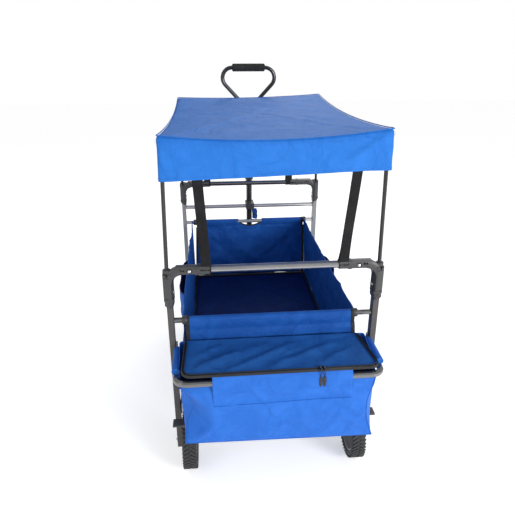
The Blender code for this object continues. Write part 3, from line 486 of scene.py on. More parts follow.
def cloth(name, deep, lit, rough=0.62, threads=950, crease=0.004, weave_depth=0.00022, sheen=0.0):
    """Woven cloth: the weave follows the piece's own UV map in metres, and creases its place in space. The colour is
    painted shade, from the deep tone in the crease valleys to the lit tone on the crests.
    """
    made = bpy.data.materials.new(name)
    made.use_nodes = True
    tree = made.node_tree
    shader = tree.nodes["Principled BSDF"]
    place = node(tree, "ShaderNodeTexCoord")
    woven = node(tree, "ShaderNodeGroup", node_tree=weave)
    tree.links.new(place.outputs["UV"], woven.inputs["Vector"])
    woven.inputs["Threads"].default_value = threads
    wear_and_crease_shade = node(tree, "ShaderNodeGroup", node_tree=creases)
    tree.links.new(place.outputs["Object"], wear_and_crease_shade.inputs["Vector"])
    wear_and_crease_shade.inputs["Sharpness"].default_value = 1.0
    # painted shade: the cloth is darker in its crease valleys and lighter on their crests
    tone = tree.nodes.new("ShaderNodeMix")
    tone.data_type = "RGBA"
    tone.inputs[6].default_value = (*deep, 1)
    tone.inputs[7].default_value = (*lit, 1)
    tree.links.new(wear_and_crease_shade.outputs["Fade"], tone.inputs[0])
    shaded = tree.nodes.new("ShaderNodeMix")
    shaded.data_type = "RGBA"
    shaded.blend_type = "MULTIPLY"
    shaded.inputs[0].default_value = 1.0
    tree.links.new(tone.outputs[2], shaded.inputs[6])
    tree.links.new(woven.outputs["Shade"], shaded.inputs[7])
    tree.links.new(shaded.outputs[2], shader.inputs["Base Color"])
    folds = node(tree, "ShaderNodeBump", {"Height": wear_and_crease_shade.outputs["Height"], "Strength": 1.0, "Distance": crease})
    threads_bump = node(
        tree, "ShaderNodeBump",
        {"Height": woven.outputs["Height"], "Strength": 0.6, "Distance": weave_depth, "Normal": folds.outputs["Normal"]})
    tree.links.new(threads_bump.outputs["Normal"], shader.inputs["Normal"])
    gloss = node(
        tree, "ShaderNodeMapRange",
        {"Value": woven.outputs["Height"], "From Min": 0, "From Max": 1, "To Min": rough + 0.1, "To Max": rough - 0.05})
    tree.links.new(gloss.outputs["Result"], shader.inputs["Roughness"])
    shader.inputs["Sheen Weight"].default_value = sheen
    shader.inputs["Sheen Roughness"].default_value = 0.4
    shader.inputs["Specular IOR Level"].default_value = 0.18
    return made


canopy_blue = cloth("canopy_blue", (0.016, 0.155, 0.56), (0.026, 0.195, 0.66), 0.62)
thread_blue = cloth("thread_blue", (0.04, 0.22, 0.70), (0.06, 0.28, 0.80), 0.6, 3000, 0.0005)


def sheet_object(name, verts, faces, uvs, surface, wall=0.0, levels=1, mirror_out=False):
    """A cloth mesh with its UV map in metres, smoothed, and given a wall that grows inwards."""
    data = bpy.data.meshes.new(name)
    data.from_pydata([tuple(v) for v in verts], [], faces)
    layer = data.uv_layers.new(name="UVMap")
    for loop in data.loops:
        layer.data[loop.index].uv = uvs[loop.vertex_index]
    if mirror_out:
        data.flip_normals()
    data.shade_smooth()
    data.materials.append(surface)
    made = bpy.data.objects.new(name, data)
    scene.collection.objects.link(made)
    if levels:
        smooth = made.modifiers.new("Smooth", "SUBSURF")
        smooth.levels = smooth.render_levels = levels
    if wall:
        thick = made.modifiers.new("Wall", "SOLIDIFY")
        thick.thickness = wall
        thick.offset = -1
    return made


def grid(columns, rows, place, wide, tall):
    """Vertices, faces and UVs of a grid whose points come from a function of (0 to 1, 0 to 1)."""
    verts, uvs, faces = [], [], []
    for j in range(rows + 1):
        for i in range(columns + 1):
            u, v = i / columns, j / rows
            verts.append(Vector(place(u, v)))
            uvs.append((u * wide, v * tall))
    for j in range(rows):
        for i in range(columns):
            a = j * (columns + 1) + i
            faces.append((a, a + 1, a + columns + 2, a + columns + 1))
    return verts, faces, uvs


def skirted(columns, rows, steps, place, hang, wide, tall, drop):
    """A grid with a skirt that carries on from its boundary all the way round."""
    verts, faces, uvs = grid(columns, rows, place, wide, tall)
    stride = columns + 1
    loop = [(i, 0, 0, -1) for i in range(columns)] + [(columns, j, 1, 0) for j in range(rows)]
    loop += [(i, rows, 0, 1) for i in range(columns, 0, -1)] + [(0, j, -1, 0) for j in range(rows, 0, -1)]
    corners = {(0, 0): (-1, -1), (columns, 0): (1, -1), (columns, rows): (1, 1), (0, rows): (-1, 1)}
    previous = [j * stride + i for i, j, _, _ in loop]
    for k in range(1, steps + 1):
        current = []
        for i, j, ox, oy in loop:
            out = Vector((*corners.get((i, j), (ox, oy)), 0))
            base = j * stride + i
            current.append(len(verts))
            verts.append(Vector(hang(verts[base], out, k / steps, i / columns, j / rows)))
            uvs.append((uvs[base][0] + out.x * drop * k / steps, uvs[base][1] + out.y * drop * k / steps))
        for a in range(len(loop)):
            b = (a + 1) % len(loop)
            faces.append((previous[a], current[a], current[b], previous[b]))
        previous = current
    return verts, faces, uvs


def soft_fold(point, scale, seed, sharp=0.8):
    """Height of folds in cloth at a point, from about -1 to 1, with sharper crests than valleys."""
    p = Vector(point) * scale + Vector((seed, -2.3 * seed, 1.7 * seed))
    p = p + noise.noise_vector(p * 0.6) * 0.8
    return 1 - 2 * abs(noise.noise(p)) ** sharp * 1.4


def ridge(x, z, start, end, width):
    """A bump along a line between two points, as a crease is, fading towards its ends."""
    a, b, p = Vector(start), Vector(end), Vector((x, z))
    along = (b - a).normalized()
    t = (p - a).dot(along) / (b - a).length
    away = (p - a - along * (p - a).dot(along)).length
    if t < 0 or t > 1:
        return 0.0
    return exp(-(away / width) ** 2) * sin(pi * t) ** 0.5


canopy_low, canopy_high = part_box("canopy")
canopy_half = canopy_high.x - 0.0030
canopy_near, canopy_far = canopy_low.y, canopy_high.y
CANOPY_RIGHT_UP = 0.0078
HEM_LEFT, HEM_RIGHT = canopy_high.z - 0.0990, canopy_high.z - 0.0840


def canopy_top(u, v):
    a, b = 2 * u - 1, 2 * v - 1
    x = a * (canopy_half - 0.006 * (1 - b * b))
    y = canopy_near + (canopy_far - canopy_near) * v
    ends = (0.0165 * (1 - v) + 0.007 * v) * (1 - a * a)
    sides = (0.015 * (1 - u) + 0.017 * u) * (1 - b * b) * a * a
    z = canopy_high.z - 0.0015 + CANOPY_RIGHT_UP * u - ends - sides
    inside = min(1.0, 6 * min(u, 1 - u, v, 1 - v))
    z += inside * (0.0022 * soft_fold((x, y, 0), 7, 3.1) + 0.0012 * soft_fold((x, y, 0), 19, 8.4))
    z += 0.004 * ridge(x, y, (-canopy_half, canopy_near), (0.02, 0.12), 0.012)
    z += 0.004 * ridge(x, y, (canopy_half, canopy_near), (-0.02, 0.10), 0.012)
    z += 0.003 * ridge(x, y, (canopy_half, canopy_far), (0.02, 0.05), 0.012)
    return x, y, z


def hem_height(x):
    return HEM_LEFT + (HEM_RIGHT - HEM_LEFT) * (x / canopy_half + 1) / 2


def valance(top, out, t, u, v):
    x, y = top.x, top.y
    hem = hem_height(x) + 0.0018 * noise.noise(Vector((x * 7, y * 7, 5.0)))
    z = top.z + (hem - top.z) * t
    wave = 0.5 + 0.5 * noise.noise(Vector((x * 8, y * 8, 2.0)))
    fall = z - canopy_high.z
    puff = 0.0015 + 0.0035 * t * wave + 0.0010 * t
    if out.y < 0:
        puff += 0.0060 * ridge(x, fall, (0.255, 0), (0.150, -0.068), 0.007)
        puff += 0.0045 * ridge(x, fall, (-0.255, -0.005), (-0.17, -0.080), 0.008)
        puff += 0.0022 * ridge(x, fall, (-0.10, -0.025), (0.08, -0.088), 0.010)
        puff += 0.0020 * ridge(x, fall, (0.02, -0.018), (0.16, -0.080), 0.009)
        puff += 0.0016 * soft_fold((x, 0, z), 16, 4.2)
    else:
        puff += 0.0016 * soft_fold((x, y, z), 13, 1.3)
    return x + out.x * puff, y + out.y * puff, z


canopy_verts, canopy_faces, canopy_uvs = skirted(
    48, 64, 12, canopy_top, valance, 2 * canopy_half, canopy_far - canopy_near, 0.1)
canopy_sheet = sheet_object("canopy_sheet", canopy_verts, canopy_faces, canopy_uvs, canopy_blue, 0.0011)


def stitch_tree():
    """Places small rounded or square bars at an even spacing along every curve that it is given."""
    tree = bpy.data.node_groups.new("row_of_stitches", "GeometryNodeTree")
    face = tree.interface
    ids = {}
    face.new_socket("Geometry", in_out="INPUT", socket_type="NodeSocketGeometry")
    for label, kind in (("Spacing", "NodeSocketFloat"), ("Long", "NodeSocketFloat"), ("Across", "NodeSocketFloat"),
                        ("Thick", "NodeSocketFloat"), ("Square", "NodeSocketBool"), ("Finish", "NodeSocketMaterial")):
        ids[label] = face.new_socket(label, in_out="INPUT", socket_type=kind).identifier
    face.new_socket("Geometry", in_out="OUTPUT", socket_type="NodeSocketGeometry")
    given, result = tree.nodes.new("NodeGroupInput"), tree.nodes.new("NodeGroupOutput")
    points = tree.nodes.new("GeometryNodeResampleCurve")
    points.mode = "LENGTH"
    tree.links.new(given.outputs["Geometry"], points.inputs["Curve"])
    tree.links.new(given.outputs["Spacing"], points.inputs["Length"])
    bead = tree.nodes.new("GeometryNodeMeshIcoSphere")
    bead.inputs["Radius"].default_value = 0.5
    brick = tree.nodes.new("GeometryNodeMeshCube")
    shape = tree.nodes.new("GeometryNodeSwitch")
    shape.input_type = "GEOMETRY"
    tree.links.new(given.outputs["Square"], shape.inputs["Switch"])
    tree.links.new(bead.outputs["Mesh"], shape.inputs["False"])
    tree.links.new(brick.outputs["Mesh"], shape.inputs["True"])
    tangent = tree.nodes.new("GeometryNodeInputTangent")
    turn = tree.nodes.new("FunctionNodeAlignRotationToVector")
    turn.axis = "X"
    tree.links.new(tangent.outputs["Tangent"], turn.inputs["Vector"])
    size = tree.nodes.new("ShaderNodeCombineXYZ")
    for label, socket in (("Long", "X"), ("Across", "Y"), ("Thick", "Z")):
        tree.links.new(given.outputs[label], size.inputs[socket])
    place = tree.nodes.new("GeometryNodeInstanceOnPoints")
    tree.links.new(points.outputs["Curve"], place.inputs["Points"])
    tree.links.new(shape.outputs["Output"], place.inputs["Instance"])
    tree.links.new(turn.outputs["Rotation"], place.inputs["Rotation"])
    tree.links.new(size.outputs["Vector"], place.inputs["Scale"])
    real = tree.nodes.new("GeometryNodeRealizeInstances")
    tree.links.new(place.outputs["Instances"], real.inputs["Geometry"])
    coat = tree.nodes.new("GeometryNodeSetMaterial")
    tree.links.new(real.outputs["Geometry"], coat.inputs["Geometry"])
    tree.links.new(given.outputs["Finish"], coat.inputs["Material"])
    tree.links.new(coat.outputs["Geometry"], result.inputs["Geometry"])
    return tree, ids


stitch_nodes, stitch_ids = stitch_tree()


def made_by(name, host, tree, ids, values):
    """The plain mesh that a Geometry Nodes tree makes on a host object, which is then removed."""
    step = host.modifiers.new("Make", "NODES")
    step.node_group = tree
    for label, value in values.items():
        step[ids[label]] = value
    bpy.context.view_layer.update()
    graph = bpy.context.evaluated_depsgraph_get()
    data = bpy.data.meshes.new_from_object(host.evaluated_get(graph), depsgraph=graph)
    data.name = name
    bpy.data.objects.remove(host, do_unlink=True)
    made = bpy.data.objects.new(name, data)
    scene.collection.objects.link(made)
    return made


def along_runs(name, runs, surface, spacing=0.0042, long=0.003, across=0.0008, thick=0.0006, square=False):
    """Stitches or teeth along runs of points."""
    line = bpy.data.curves.new(name + "_line", "CURVE")
    line.dimensions = "3D"
    for run in runs:
        spline = line.splines.new("POLY")
        spline.points.add(len(run) - 1)
        for spot, p in zip(spline.points, run):
            spot.co = (*p, 1)
    host = bpy.data.objects.new(name + "_line", line)
    scene.collection.objects.link(host)
    return made_by(
        name, host, stitch_nodes, stitch_ids,
        {"Spacing": spacing, "Long": long, "Across": across, "Thick": thick, "Square": square, "Finish": surface})


def skirt_run(verts, columns, rows, steps, level, t, lift=0.0007):
    """Points round a skirt at a share of the way between two of its rings."""
    around = 2 * (columns + rows)
    first = (columns + 1) * (rows + 1)
    a, b = first + (level - 1) * around, first + level * around
    run = [verts[a + k].lerp(verts[b + k], t) for k in range(around)]
    middle = sum(run, Vector()) / around
    lifted = []
    for k, p in enumerate(run):
        along = run[(k + 1) % around] - run[k - 1]
        out = Vector((along.y, -along.x, 0)).normalized()
        if out.dot(p - middle) < 0:
            out = -out
        lifted.append(p + out * lift)
    return lifted + lifted[:1]


canopy_stitches = along_runs(
    "canopy_stitches",
    [skirt_run(canopy_verts, 48, 64, 12, 11, 0.25), skirt_run(canopy_verts, 48, 64, 12, 1, 0.05),
     skirt_run(canopy_verts, 48, 64, 12, 1, 0.7)], thread_blue)
seam_run = skirt_run(canopy_verts, 48, 64, 12, 1, 0.0, 0.0002)
canopy_seam = sweep("canopy_seam", [Vector(canopy_verts[i]) + Vector((0, 0, 0.0004)) for i in (
    [i for i in range(49)] + [j * 49 + 48 for j in range(1, 65)] + [64 * 49 + i for i in range(47, -1, -1)]
    + [j * 49 for j in range(63, 0, -1)])], oval(0.0026, 0.0022, 2, 6), (0, 0, 1), canopy_blue, True)
front_bar_low, front_bar_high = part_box("front_bar")
rear_y, front_y = (bar_low.y + bar_high.y) / 2, (front_bar_low.y + front_bar_high.y) / 2
for piece in (canopy_sheet, canopy_stitches, canopy_seam):
    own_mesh(piece)
    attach(piece, "rear_frame")
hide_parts("canopy")

# ------------------------------------------------------------------ canopy straps
# Flat black webbing sewn under the canopy's corners, taken down in front of the push bar, round it, and up
# again behind to where it is sewn back on itself.  Two shorter ones hold the front edge to the front bar.
black_webbing = cloth("black_webbing", (0.008, 0.008, 0.009), (0.022, 0.022, 0.024), 0.7, 620, 0.0012, 0.0004, 0.1)
STRAP_WIDE, STRAP_THICK, STRAP_WRAP = 0.0235, 0.0016, 0.0101


def strap(name, plane, toward, foot_x, top_x, top_z, sewn_z, body):
    """A strap from under the canopy to a bar; toward says on which side of the bar it comes down."""
    path = []
    for k in range(13):
        t = k / 12
        z = top_z + (bar_z + 0.016 - top_z) * t
        drift = 0.0012 * sin(9 * t + foot_x * 40)
        path.append((top_x + (foot_x - top_x) * t, plane + toward * (0.0008 + 0.0080 * t ** 5) + drift, z))
    for k in range(13):
        a = pi * k / 12
        path.append((foot_x, plane + toward * STRAP_WRAP * cos(a), bar_z - STRAP_WRAP * sin(a)))
    for k in range(1, 7):
        t = k / 6
        z = bar_z + (sewn_z - bar_z) * t
        x = foot_x + (top_x - foot_x) * (z - bar_z) / (top_z - bar_z)
        path.append((x, plane - toward * (STRAP_WRAP * max(0.0, 1 - 2.2 * t) + 0.0019 * min(1, 2.2 * t)), z))
    made = sweep(name, path, oval(STRAP_WIDE, STRAP_THICK, 6, 12), (1, 0, 0), black_webbing)
    layer = made.data.uv_layers.new(name="UVMap")
    for loop in made.data.loops:
        spot = made.data.vertices[loop.vertex_index].co
        layer.data[loop.index].uv = (spot.x, spot.z)
    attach(made, body)
    return made


strap_left = strap("strap_rear_left", rear_y, -1, -0.1640, -0.1806, canopy_high.z - 0.015, bar_z + 0.086, "rear_frame")
strap_right = strap("strap_rear_right", rear_y, -1, 0.1669, 0.1923, canopy_high.z - 0.0075, bar_z + 0.076, "rear_frame")
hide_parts("canopy_strap_left")
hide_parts("canopy_strap_right")
strap("strap_front_left", front_y, 1, -0.1620, -0.1780, canopy_high.z - 0.015, bar_z + 0.066, "front_frame")
strap("strap_front_right", front_y, 1, 0.1500, 0.1700, canopy_high.z - 0.010, bar_z + 0.066, "front_frame")

# ------------------------------------------------------------------ basket
# A cloth box slung between the frames: the end walls are sleeved over tubes, the side walls hang free from
# their corners and ride on the rear frame; the real ones crumple when the cart folds.  Black piping runs up the corners
# and round the floor.
basket_blue = cloth("basket_blue", (0.007, 0.075, 0.34), (0.013, 0.115, 0.45), 0.66)
piping_black = finish("piping_black", (0.008, 0.008, 0.009), (0.018, 0.018, 0.02), 0.75, 0, 0.1, (0.05, 0.05, 0.05), 0.0001)
floor_low, floor_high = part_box("floor_panel_rear")
floor_top = floor_high.z
rear_tube_low, rear_tube_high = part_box("rear_top_tube")
front_tube_low, front_tube_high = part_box("front_top_tube")
rear_tube_z = (rear_tube_low.z + rear_tube_high.z) / 2
front_tube_z = (front_tube_low.z + front_tube_high.z) / 2
wall_low, wall_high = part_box("side_wall_right")
WALL_FOOT = floor_top + 0.0015
SIDE_FOOT = floor_top - 0.0050
SLEEVE_R = 0.0084
wall_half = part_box("basket_rear_wall")[1].x


def sleeve_profile(tube_z, out):
    """The end wall in section, as (way out from the basket, height): up inside, over the tube, down outside."""
    profile = [(-0.0016, WALL_FOOT + (tube_z - 0.030 - WALL_FOOT) * k / 12) for k in range(13)]
    profile += [(-0.0040, tube_z - 0.018), (-0.0072, tube_z - 0.009)]
    profile += [(-SLEEVE_R * cos(pi * k / 10), tube_z + SLEEVE_R * sin(pi * k / 10)) for k in range(11)]
    profile += [(0.0092, tube_z - 0.008), (0.0074, tube_z - 0.018), (0.0058, tube_z - 0.0255), (0.0074, tube_z - 0.031)]
    profile += [(0.0088, tube_z - 0.038), (0.0090, tube_z - 0.046), (0.0090, tube_z - 0.0535)]
    return profile


def profile_at(profile, v):
    spot = v * (len(profile) - 1)
    k = min(int(spot), len(profile) - 2)
    t = spot - k
    return profile[k][0] * (1 - t) + profile[k + 1][0] * t, profile[k][1] * (1 - t) + profile[k + 1][1] * t


RIGHT_IN, LEFT_IN = 0.0165, 0.0
rear_profile = sleeve_profile(rear_tube_z, -1)
front_profile = sleeve_profile(front_tube_z, 1)
NOTCH_HALF, NOTCH_DEEP = 0.048, 0.0265


def lift(z, top):
    """0 at the floor, 1 at the top."""
    return min(1.0, max(0.0, (z - WALL_FOOT) / (top - WALL_FOOT)))


def rear_wall(u, v):
    out, z = profile_at(rear_profile, v)
    high = lift(z, rear_tube_z)
    left, right = -wall_half + LEFT_IN * high, wall_half - RIGHT_IN * high
    x = left + (right - left) * u
    edge = min(1.0, 12 * min(u, 1 - u))
    loose = edge * (0.0016 * soft_fold((x, 0, z), 9, 2.2) + 0.0008 * soft_fold((x, 0, z), 24, 6.0))
    if v > 0.72:
        out += 0.6 * loose + edge * 0.0012 * noise.noise(Vector((x * 30, z * 12, 4)))
        z += edge * 0.0012 * noise.noise(Vector((x * 16, 2, 1))) * (v - 0.72) * 4
    elif v < 0.4:
        out += 1.6 * loose - 0.004 * sin(pi * high) * edge
    return x, rear_y - out, z


def front_wall(u, v):
    out, z = profile_at(front_profile, v)
    high = lift(z, front_tube_z)
    left, right = -wall_half + 0.010 * high, wall_half - 0.0095 * high
    x = left + (right - left) * u
    edge = min(1.0, 12 * min(u, 1 - u))
    cut = sqrt(max(0.0, 1 - (x / NOTCH_HALF) ** 2))
    near_top = max(0.0, min(1.0, (z - front_tube_z + 0.055) / 0.045))
    if cut > 0:
        out *= 1 - 0.82 * min(1.0, cut * 2.5) * near_top
    z -= NOTCH_DEEP * cut * near_top
    loose = edge * (0.0022 * soft_fold((x, 0, z), 7, 9.2) + 0.0012 * soft_fold((x, 0, z), 19, 3.0))
    if v < 0.4:
        out -= 1.5 * loose + 0.003 * sin(pi * high) * edge
        out += 0.0022 * ridge(x, z - WALL_FOOT, (-0.20, 0.198), (-0.04, 0.048), 0.008) * edge
        out += 0.0022 * ridge(x, z - WALL_FOOT, (0.19, 0.188), (0.05, 0.068), 0.008) * edge
    elif v > 0.72:
        out += 0.5 * loose
    return x, front_y + out, z


def long_of(profile):
    return sum(sqrt((b[0] - a[0]) ** 2 + (b[1] - a[1]) ** 2) for a, b in zip(profile, profile[1:]))


wall_pieces = {}
for where, place, profile, flip in (("rear", rear_wall, rear_profile, False), ("front", front_wall, front_profile, True)):
    verts, faces, uvs = grid(88, 66, place, 2 * wall_half, long_of(profile))
    wall_pieces[where] = sheet_object(f"end_wall_{where}", verts, faces, uvs, basket_blue, 0.0011, 0, flip)
    stitched = [
        [Vector(verts[j * 89 + i]) + Vector((0, -0.0007 if where == "rear" else 0.0007, 0)) for i in range(1, 88)]
        for j in (58, 64)]
    rows = along_runs(f"end_wall_stitches_{where}", stitched, thread_blue)
    bands = []
    for i in (0, 88):
        run = [Vector(verts[j * 89 + i]) for j in range(26, 67)]
        inward = Vector((0.0042 if i == 0 else -0.0042, 0, 0))
        spread = []
        for k, spot in enumerate(run):
            along = run[min(k + 1, len(run) - 1)] - run[max(k - 1, 0)]
            out = Vector((0, along.z, -along.y)).normalized()
            if out.y * (1 if where == "front" else -1) < 0 and k > 14:
                out = -out
            spread.append(spot + inward + out * 0.0)
        bands.append(sweep("band", spread, oval(0.0100, 0.0040, 5, 12), (1, 0, 0), piping_black))
    binding = merged(f"end_wall_binding_{where}", *bands)
    for piece, slot in ((wall_pieces[where], "blue_cloth"), (rows, "blue_cloth"), (binding, "black_webbing")):
        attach(piece, f"{where}_frame")
    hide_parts(f"basket_{where}_wall")
    if where == "front":
        arc = []
        for k in range(25):
            x = NOTCH_HALF * 1.02 * (2 * k / 24 - 1)
            cut = sqrt(max(0.0, 1 - (x / NOTCH_HALF) ** 2))
            out_top = SLEEVE_R * (1 - 0.82 * min(1.0, cut * 2.5))
            arc.append((x, front_y - 0.001, front_tube_z + SLEEVE_R - NOTCH_DEEP * cut + 0.0006))
        rim = sweep("notch_binding", arc, oval(0.0075, 0.0044, 3, 12), (0, 1, 0), piping_black)
        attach(rim, "front_frame")

side_back, side_front = rear_y, front_y
for side, s in (("left", -1), ("right", 1)):
    inner = abs(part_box(f"side_wall_{side}")[0].x if s > 0 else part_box(f"side_wall_{side}")[1].x)
    seed = 3.0 if s > 0 else 11.0

    def side_point(u, v, s=s, inner=inner, seed=seed):
        top = rear_tube_z + 0.006 + (front_tube_z - rear_tube_z) * u - 0.004 * sin(pi * u)
        z = SIDE_FOOT + (top - SIDE_FOOT) * v
        clear = 0.0085 * min(1.0, max(0.0, (z - (top - 0.042)) / 0.020))
        y = rear_y + 0.0003 + clear + (front_y - rear_y - 0.0006 - 2 * clear) * u
        if s > 0:
            lean = -(0.0190 * (1 - u) + 0.0115 * u) * v ** 1.3
        else:
            lean = (0.0020 * (1 - u) + 0.0030 * u) * v
        edge = min(1.0, 14 * min(u, 1 - u))
        bulge = edge * (0.0030 * soft_fold((0, y, z), 6, seed) + 0.0012 * soft_fold((0, y, z), 17, seed + 2))
        bulge += edge * 0.0045 * ridge(y, z - WALL_FOOT, (-0.05 * s, 0.238), (0.02, 0.008), 0.010)
        bulge += edge * 0.0030 * ridge(y, z - WALL_FOOT, (0.26, 0.228), (0.33, 0.028), 0.009)
        low_room = 0.0035
        return s * (inner + 0.0012 + lean + max(-0.006, min(low_room, bulge))), y, z

    verts, faces, uvs = grid(96, 34, side_point, side_front - side_back, 0.245)
    wall = sheet_object(f"side_cloth_{side}", verts, faces, uvs, basket_blue, 0.0013, 0, s > 0)
    top_line = [Vector(verts[34 * 97 + i]) for i in range(97)]
    hem = sweep(f"side_hem_{side}", top_line, oval(0.0042, 0.0036, 2, 8), (0, 0, 1), basket_blue)
    runs = [[Vector(verts[j * 97 + i]) - Vector((s * 0.0007, 0, 0)) for i in range(1, 96)] for j in (32,)]
    rows = along_runs(f"side_stitches_{side}", runs, thread_blue)
    pocket_y0, pocket_y1, pocket_low, pocket_high = (-0.185, 0.055, 0.106, 0.230) if s < 0 else (-0.085, 0.060, 0.120, 0.230)

    def pocket_point(u, v, s=s):
        y = pocket_y0 + (pocket_y1 - pocket_y0) * u
        round_off = 0.020 * (1 - min(1.0, 7 * min(u, 1 - u))) ** 2
        z = WALL_FOOT + pocket_low + round_off + (pocket_high - pocket_low - round_off) * v
        wall_x = side_point((y - side_back) / (side_front - side_back), (z - SIDE_FOOT) / 0.265)[0]
        puff = (0.024 if s < 0 else 0.018) * (1 - (2 * u - 1) ** 6) * min(1.0, 0.25 + 2.2 * v) * (1 - 0.25 * v)
        return wall_x + s * (0.0008 + puff), y, z

    pocket_verts, pocket_faces, pocket_uvs = grid(30, 16, pocket_point, pocket_y1 - pocket_y0, 0.13)
    pocket = sheet_object(f"side_pocket_{side}", pocket_verts, pocket_faces, pocket_uvs, basket_blue, 0.001, 0, s > 0)
    lip = sweep(
        f"pocket_hem_{side}", [Vector(pocket_verts[16 * 31 + i]) for i in range(31)], oval(0.004, 0.0026, 2, 8), (0, 0, 1),
        piping_black)
    foot_x = s * (inner - 0.0006)
    foot_line = [(foot_x, side_back + 0.002 + (side_front - side_back - 0.004) * k / 48, floor_top - 0.0012) for k in range(49)]
    foot_piping = sweep(f"side_foot_{side}", foot_line, oval(0.0066, 0.0042, 3, 8), (1, 0, 0), piping_black)
    for piece, slot in ((wall, "blue_cloth"), (hem, "blue_cloth"), (rows, "blue_cloth"), (pocket, "blue_cloth"),
                        (lip, "black_webbing"), (foot_piping, "black_webbing")):
        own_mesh(piece)
        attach(piece, "rear_frame")
    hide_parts(f"side_wall_{side}")

for where, toward, place in (("rear", 1, rear_wall), ("front", -1, front_wall)):
    plane = rear_y if where == "rear" else front_y
    panel_low, panel_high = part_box(f"floor_panel_{where}")
    gap = abs((panel_low.y if where == "rear" else panel_high.y) - plane)
    cords = [sweep(
        "cord", [(wall_half * (2 * k / 24 - 1), plane + toward * gap / 2, floor_top - 0.0014) for k in range(25)],
        oval(gap + 0.003, 0.0042, 3, 8), (0, 1, 0), piping_black)]
    for s in (-1, 1):
        u = 0.0 if s < 0 else 1.0
        run = [Vector(place(u, v / 60)) + Vector((-s * 0.0012, toward * 0.0032, 0)) for v in range(0, 25)]
        cords.append(sweep("cord", run, oval(0.0095, 0.0050, 2, 8), (1, 0, 0), piping_black))
    corner_piping = merged(f"corner_piping_{where}", *cords)
    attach(corner_piping, f"{where}_frame")

for where in ("rear", "front"):
    plane, tube_z = (rear_y, rear_tube_z) if where == "rear" else (front_y, front_tube_z)
    collars = []
    for s in (-1, 1):
        collars.append(turned(
            "collar", (s * (wall_half - (0.0065 if where == "front" else RIGHT_IN if s > 0 else LEFT_IN)), plane, tube_z), (s, 0, 0),
            [(-0.003, 0.0088), (-0.003, 0.0102), (-0.001, 0.0112), (0.007, 0.0112), (0.009, 0.0102), (0.009, 0.0088)], nylon, 20))
    tube_collars = merged(f"tube_collars_{where}", *collars)
    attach(tube_collars, f"{where}_frame")

# ------------------------------------------------------------------ floor
# Two stiff boards in sewn covers that meet at the fold, each edged with black piping.
floor_cloth = cloth("floor_cloth", (0.003, 0.022, 0.12), (0.006, 0.038, 0.18), 0.75, 800, 0.003)
for where in ("rear", "front"):
    low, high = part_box(f"floor_panel_{where}")

    def board_top(u, v, low=low, high=high):
        x, y = low.x + 0.001 + (high.x - low.x - 0.002) * u, low.y + 0.001 + (high.y - low.y - 0.002) * v
        edge = min(1.0, 10 * min(u, 1 - u, v, 1 - v))
        puff = edge * (0.0006 * soft_fold((x, y, 0), 8, 5.0) + 0.0004 * soft_fold((x, y, 0), 22, 1.0)) - 0.0014 * (1 - edge) ** 2
        return x, y, high.z - 0.0008 + puff

    def board_side(top, out, t, u, v, low=low):
        return top.x, top.y, top.z + (low.z + 0.0004 - top.z) * t

    verts, faces, uvs = skirted(30, 28, 2, board_top, board_side, high.x - low.x, high.y - low.y, 0.006)
    around = 2 * (30 + 28)
    faces.append(tuple(range(len(verts) - around, len(verts))))
    board = sheet_object(f"floor_cover_{where}", verts, faces, uvs, floor_cloth, 0, 0)
    built = bmesh.new()
    built.from_mesh(board.data)
    bmesh.ops.recalc_face_normals(built, faces=built.faces)
    built.to_mesh(board.data)
    built.free()
    inset = 0.0026
    outline = smooth_path(
        [(low.x + inset, low.y + 0.06, high.z + 0.0004), (low.x + inset, low.y + inset, high.z + 0.0004),
         (high.x - inset, low.y + inset, high.z + 0.0004), (high.x - inset, high.y - inset, high.z + 0.0004),
         (low.x + inset, high.y - inset, high.z + 0.0004), (low.x + inset, low.y + 0.061, high.z + 0.0004)], 0.012, 5)
    edging = sweep(f"floor_piping_{where}", outline, oval(0.0042, 0.0038, 2, 8), (0, 0, 1), piping_black)
    for piece, slot in ((board, "floor_cloth"), (edging, "black_webbing")):
        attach(piece, f"floor_{where}")
    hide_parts(f"floor_panel_{where}")

# ------------------------------------------------------------------ rear bag
# A cloth bag slung under a bent tube: a front panel whose flap goes over the tube and is sewn down in two
# rows, gussets at both ends, a lid zipped round three sides, and sleeves that carry it on the tube's arms.
bag_blue = cloth("bag_blue", (0.019, 0.135, 0.56), (0.028, 0.175, 0.66), 0.6)
# painted shade: the lid's cloth is a darker copy of the bag's blue, standing in for the shade that falls on it under
# the canopy
lid_blue_painted_shade = cloth("lid_blue_painted_shade", (0.008, 0.074, 0.29), (0.013, 0.105, 0.38), 0.66)
gunmetal = finish("gunmetal", (0.035, 0.037, 0.042), (0.06, 0.062, 0.068), 0.3, 0.8, 0.1, (0.2, 0.2, 0.2), 0.00002)
bag_low, bag_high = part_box("rear_bag")
lid_low, lid_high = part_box("bag_lid")
tube_low, tube_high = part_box("bag_frame")
rim_y, rim_z = tube_low.y + 0.008, tube_high.z - 0.008
arm_x = tube_high.x - 0.008
lid_near, lid_far = rim_y - 0.0025, lid_high.y - 0.003
lid_back_z, lid_front_z = lid_high.z, tube_high.z + 0.0016
BAG_TALL = rim_z - 0.0095 - bag_low.z
FLAP_LEFT, FLAP_RIGHT = -0.1586, 0.1672


def bag_floor(u, v):
    x = -0.2275 + 0.456 * u
    y = bag_low.y + 0.003 + (bag_high.y - bag_low.y - 0.006) * v
    return x, y, bag_low.z + 0.0045 - 0.0095 * u - 0.004 * sin(pi * u) * sin(pi * v)


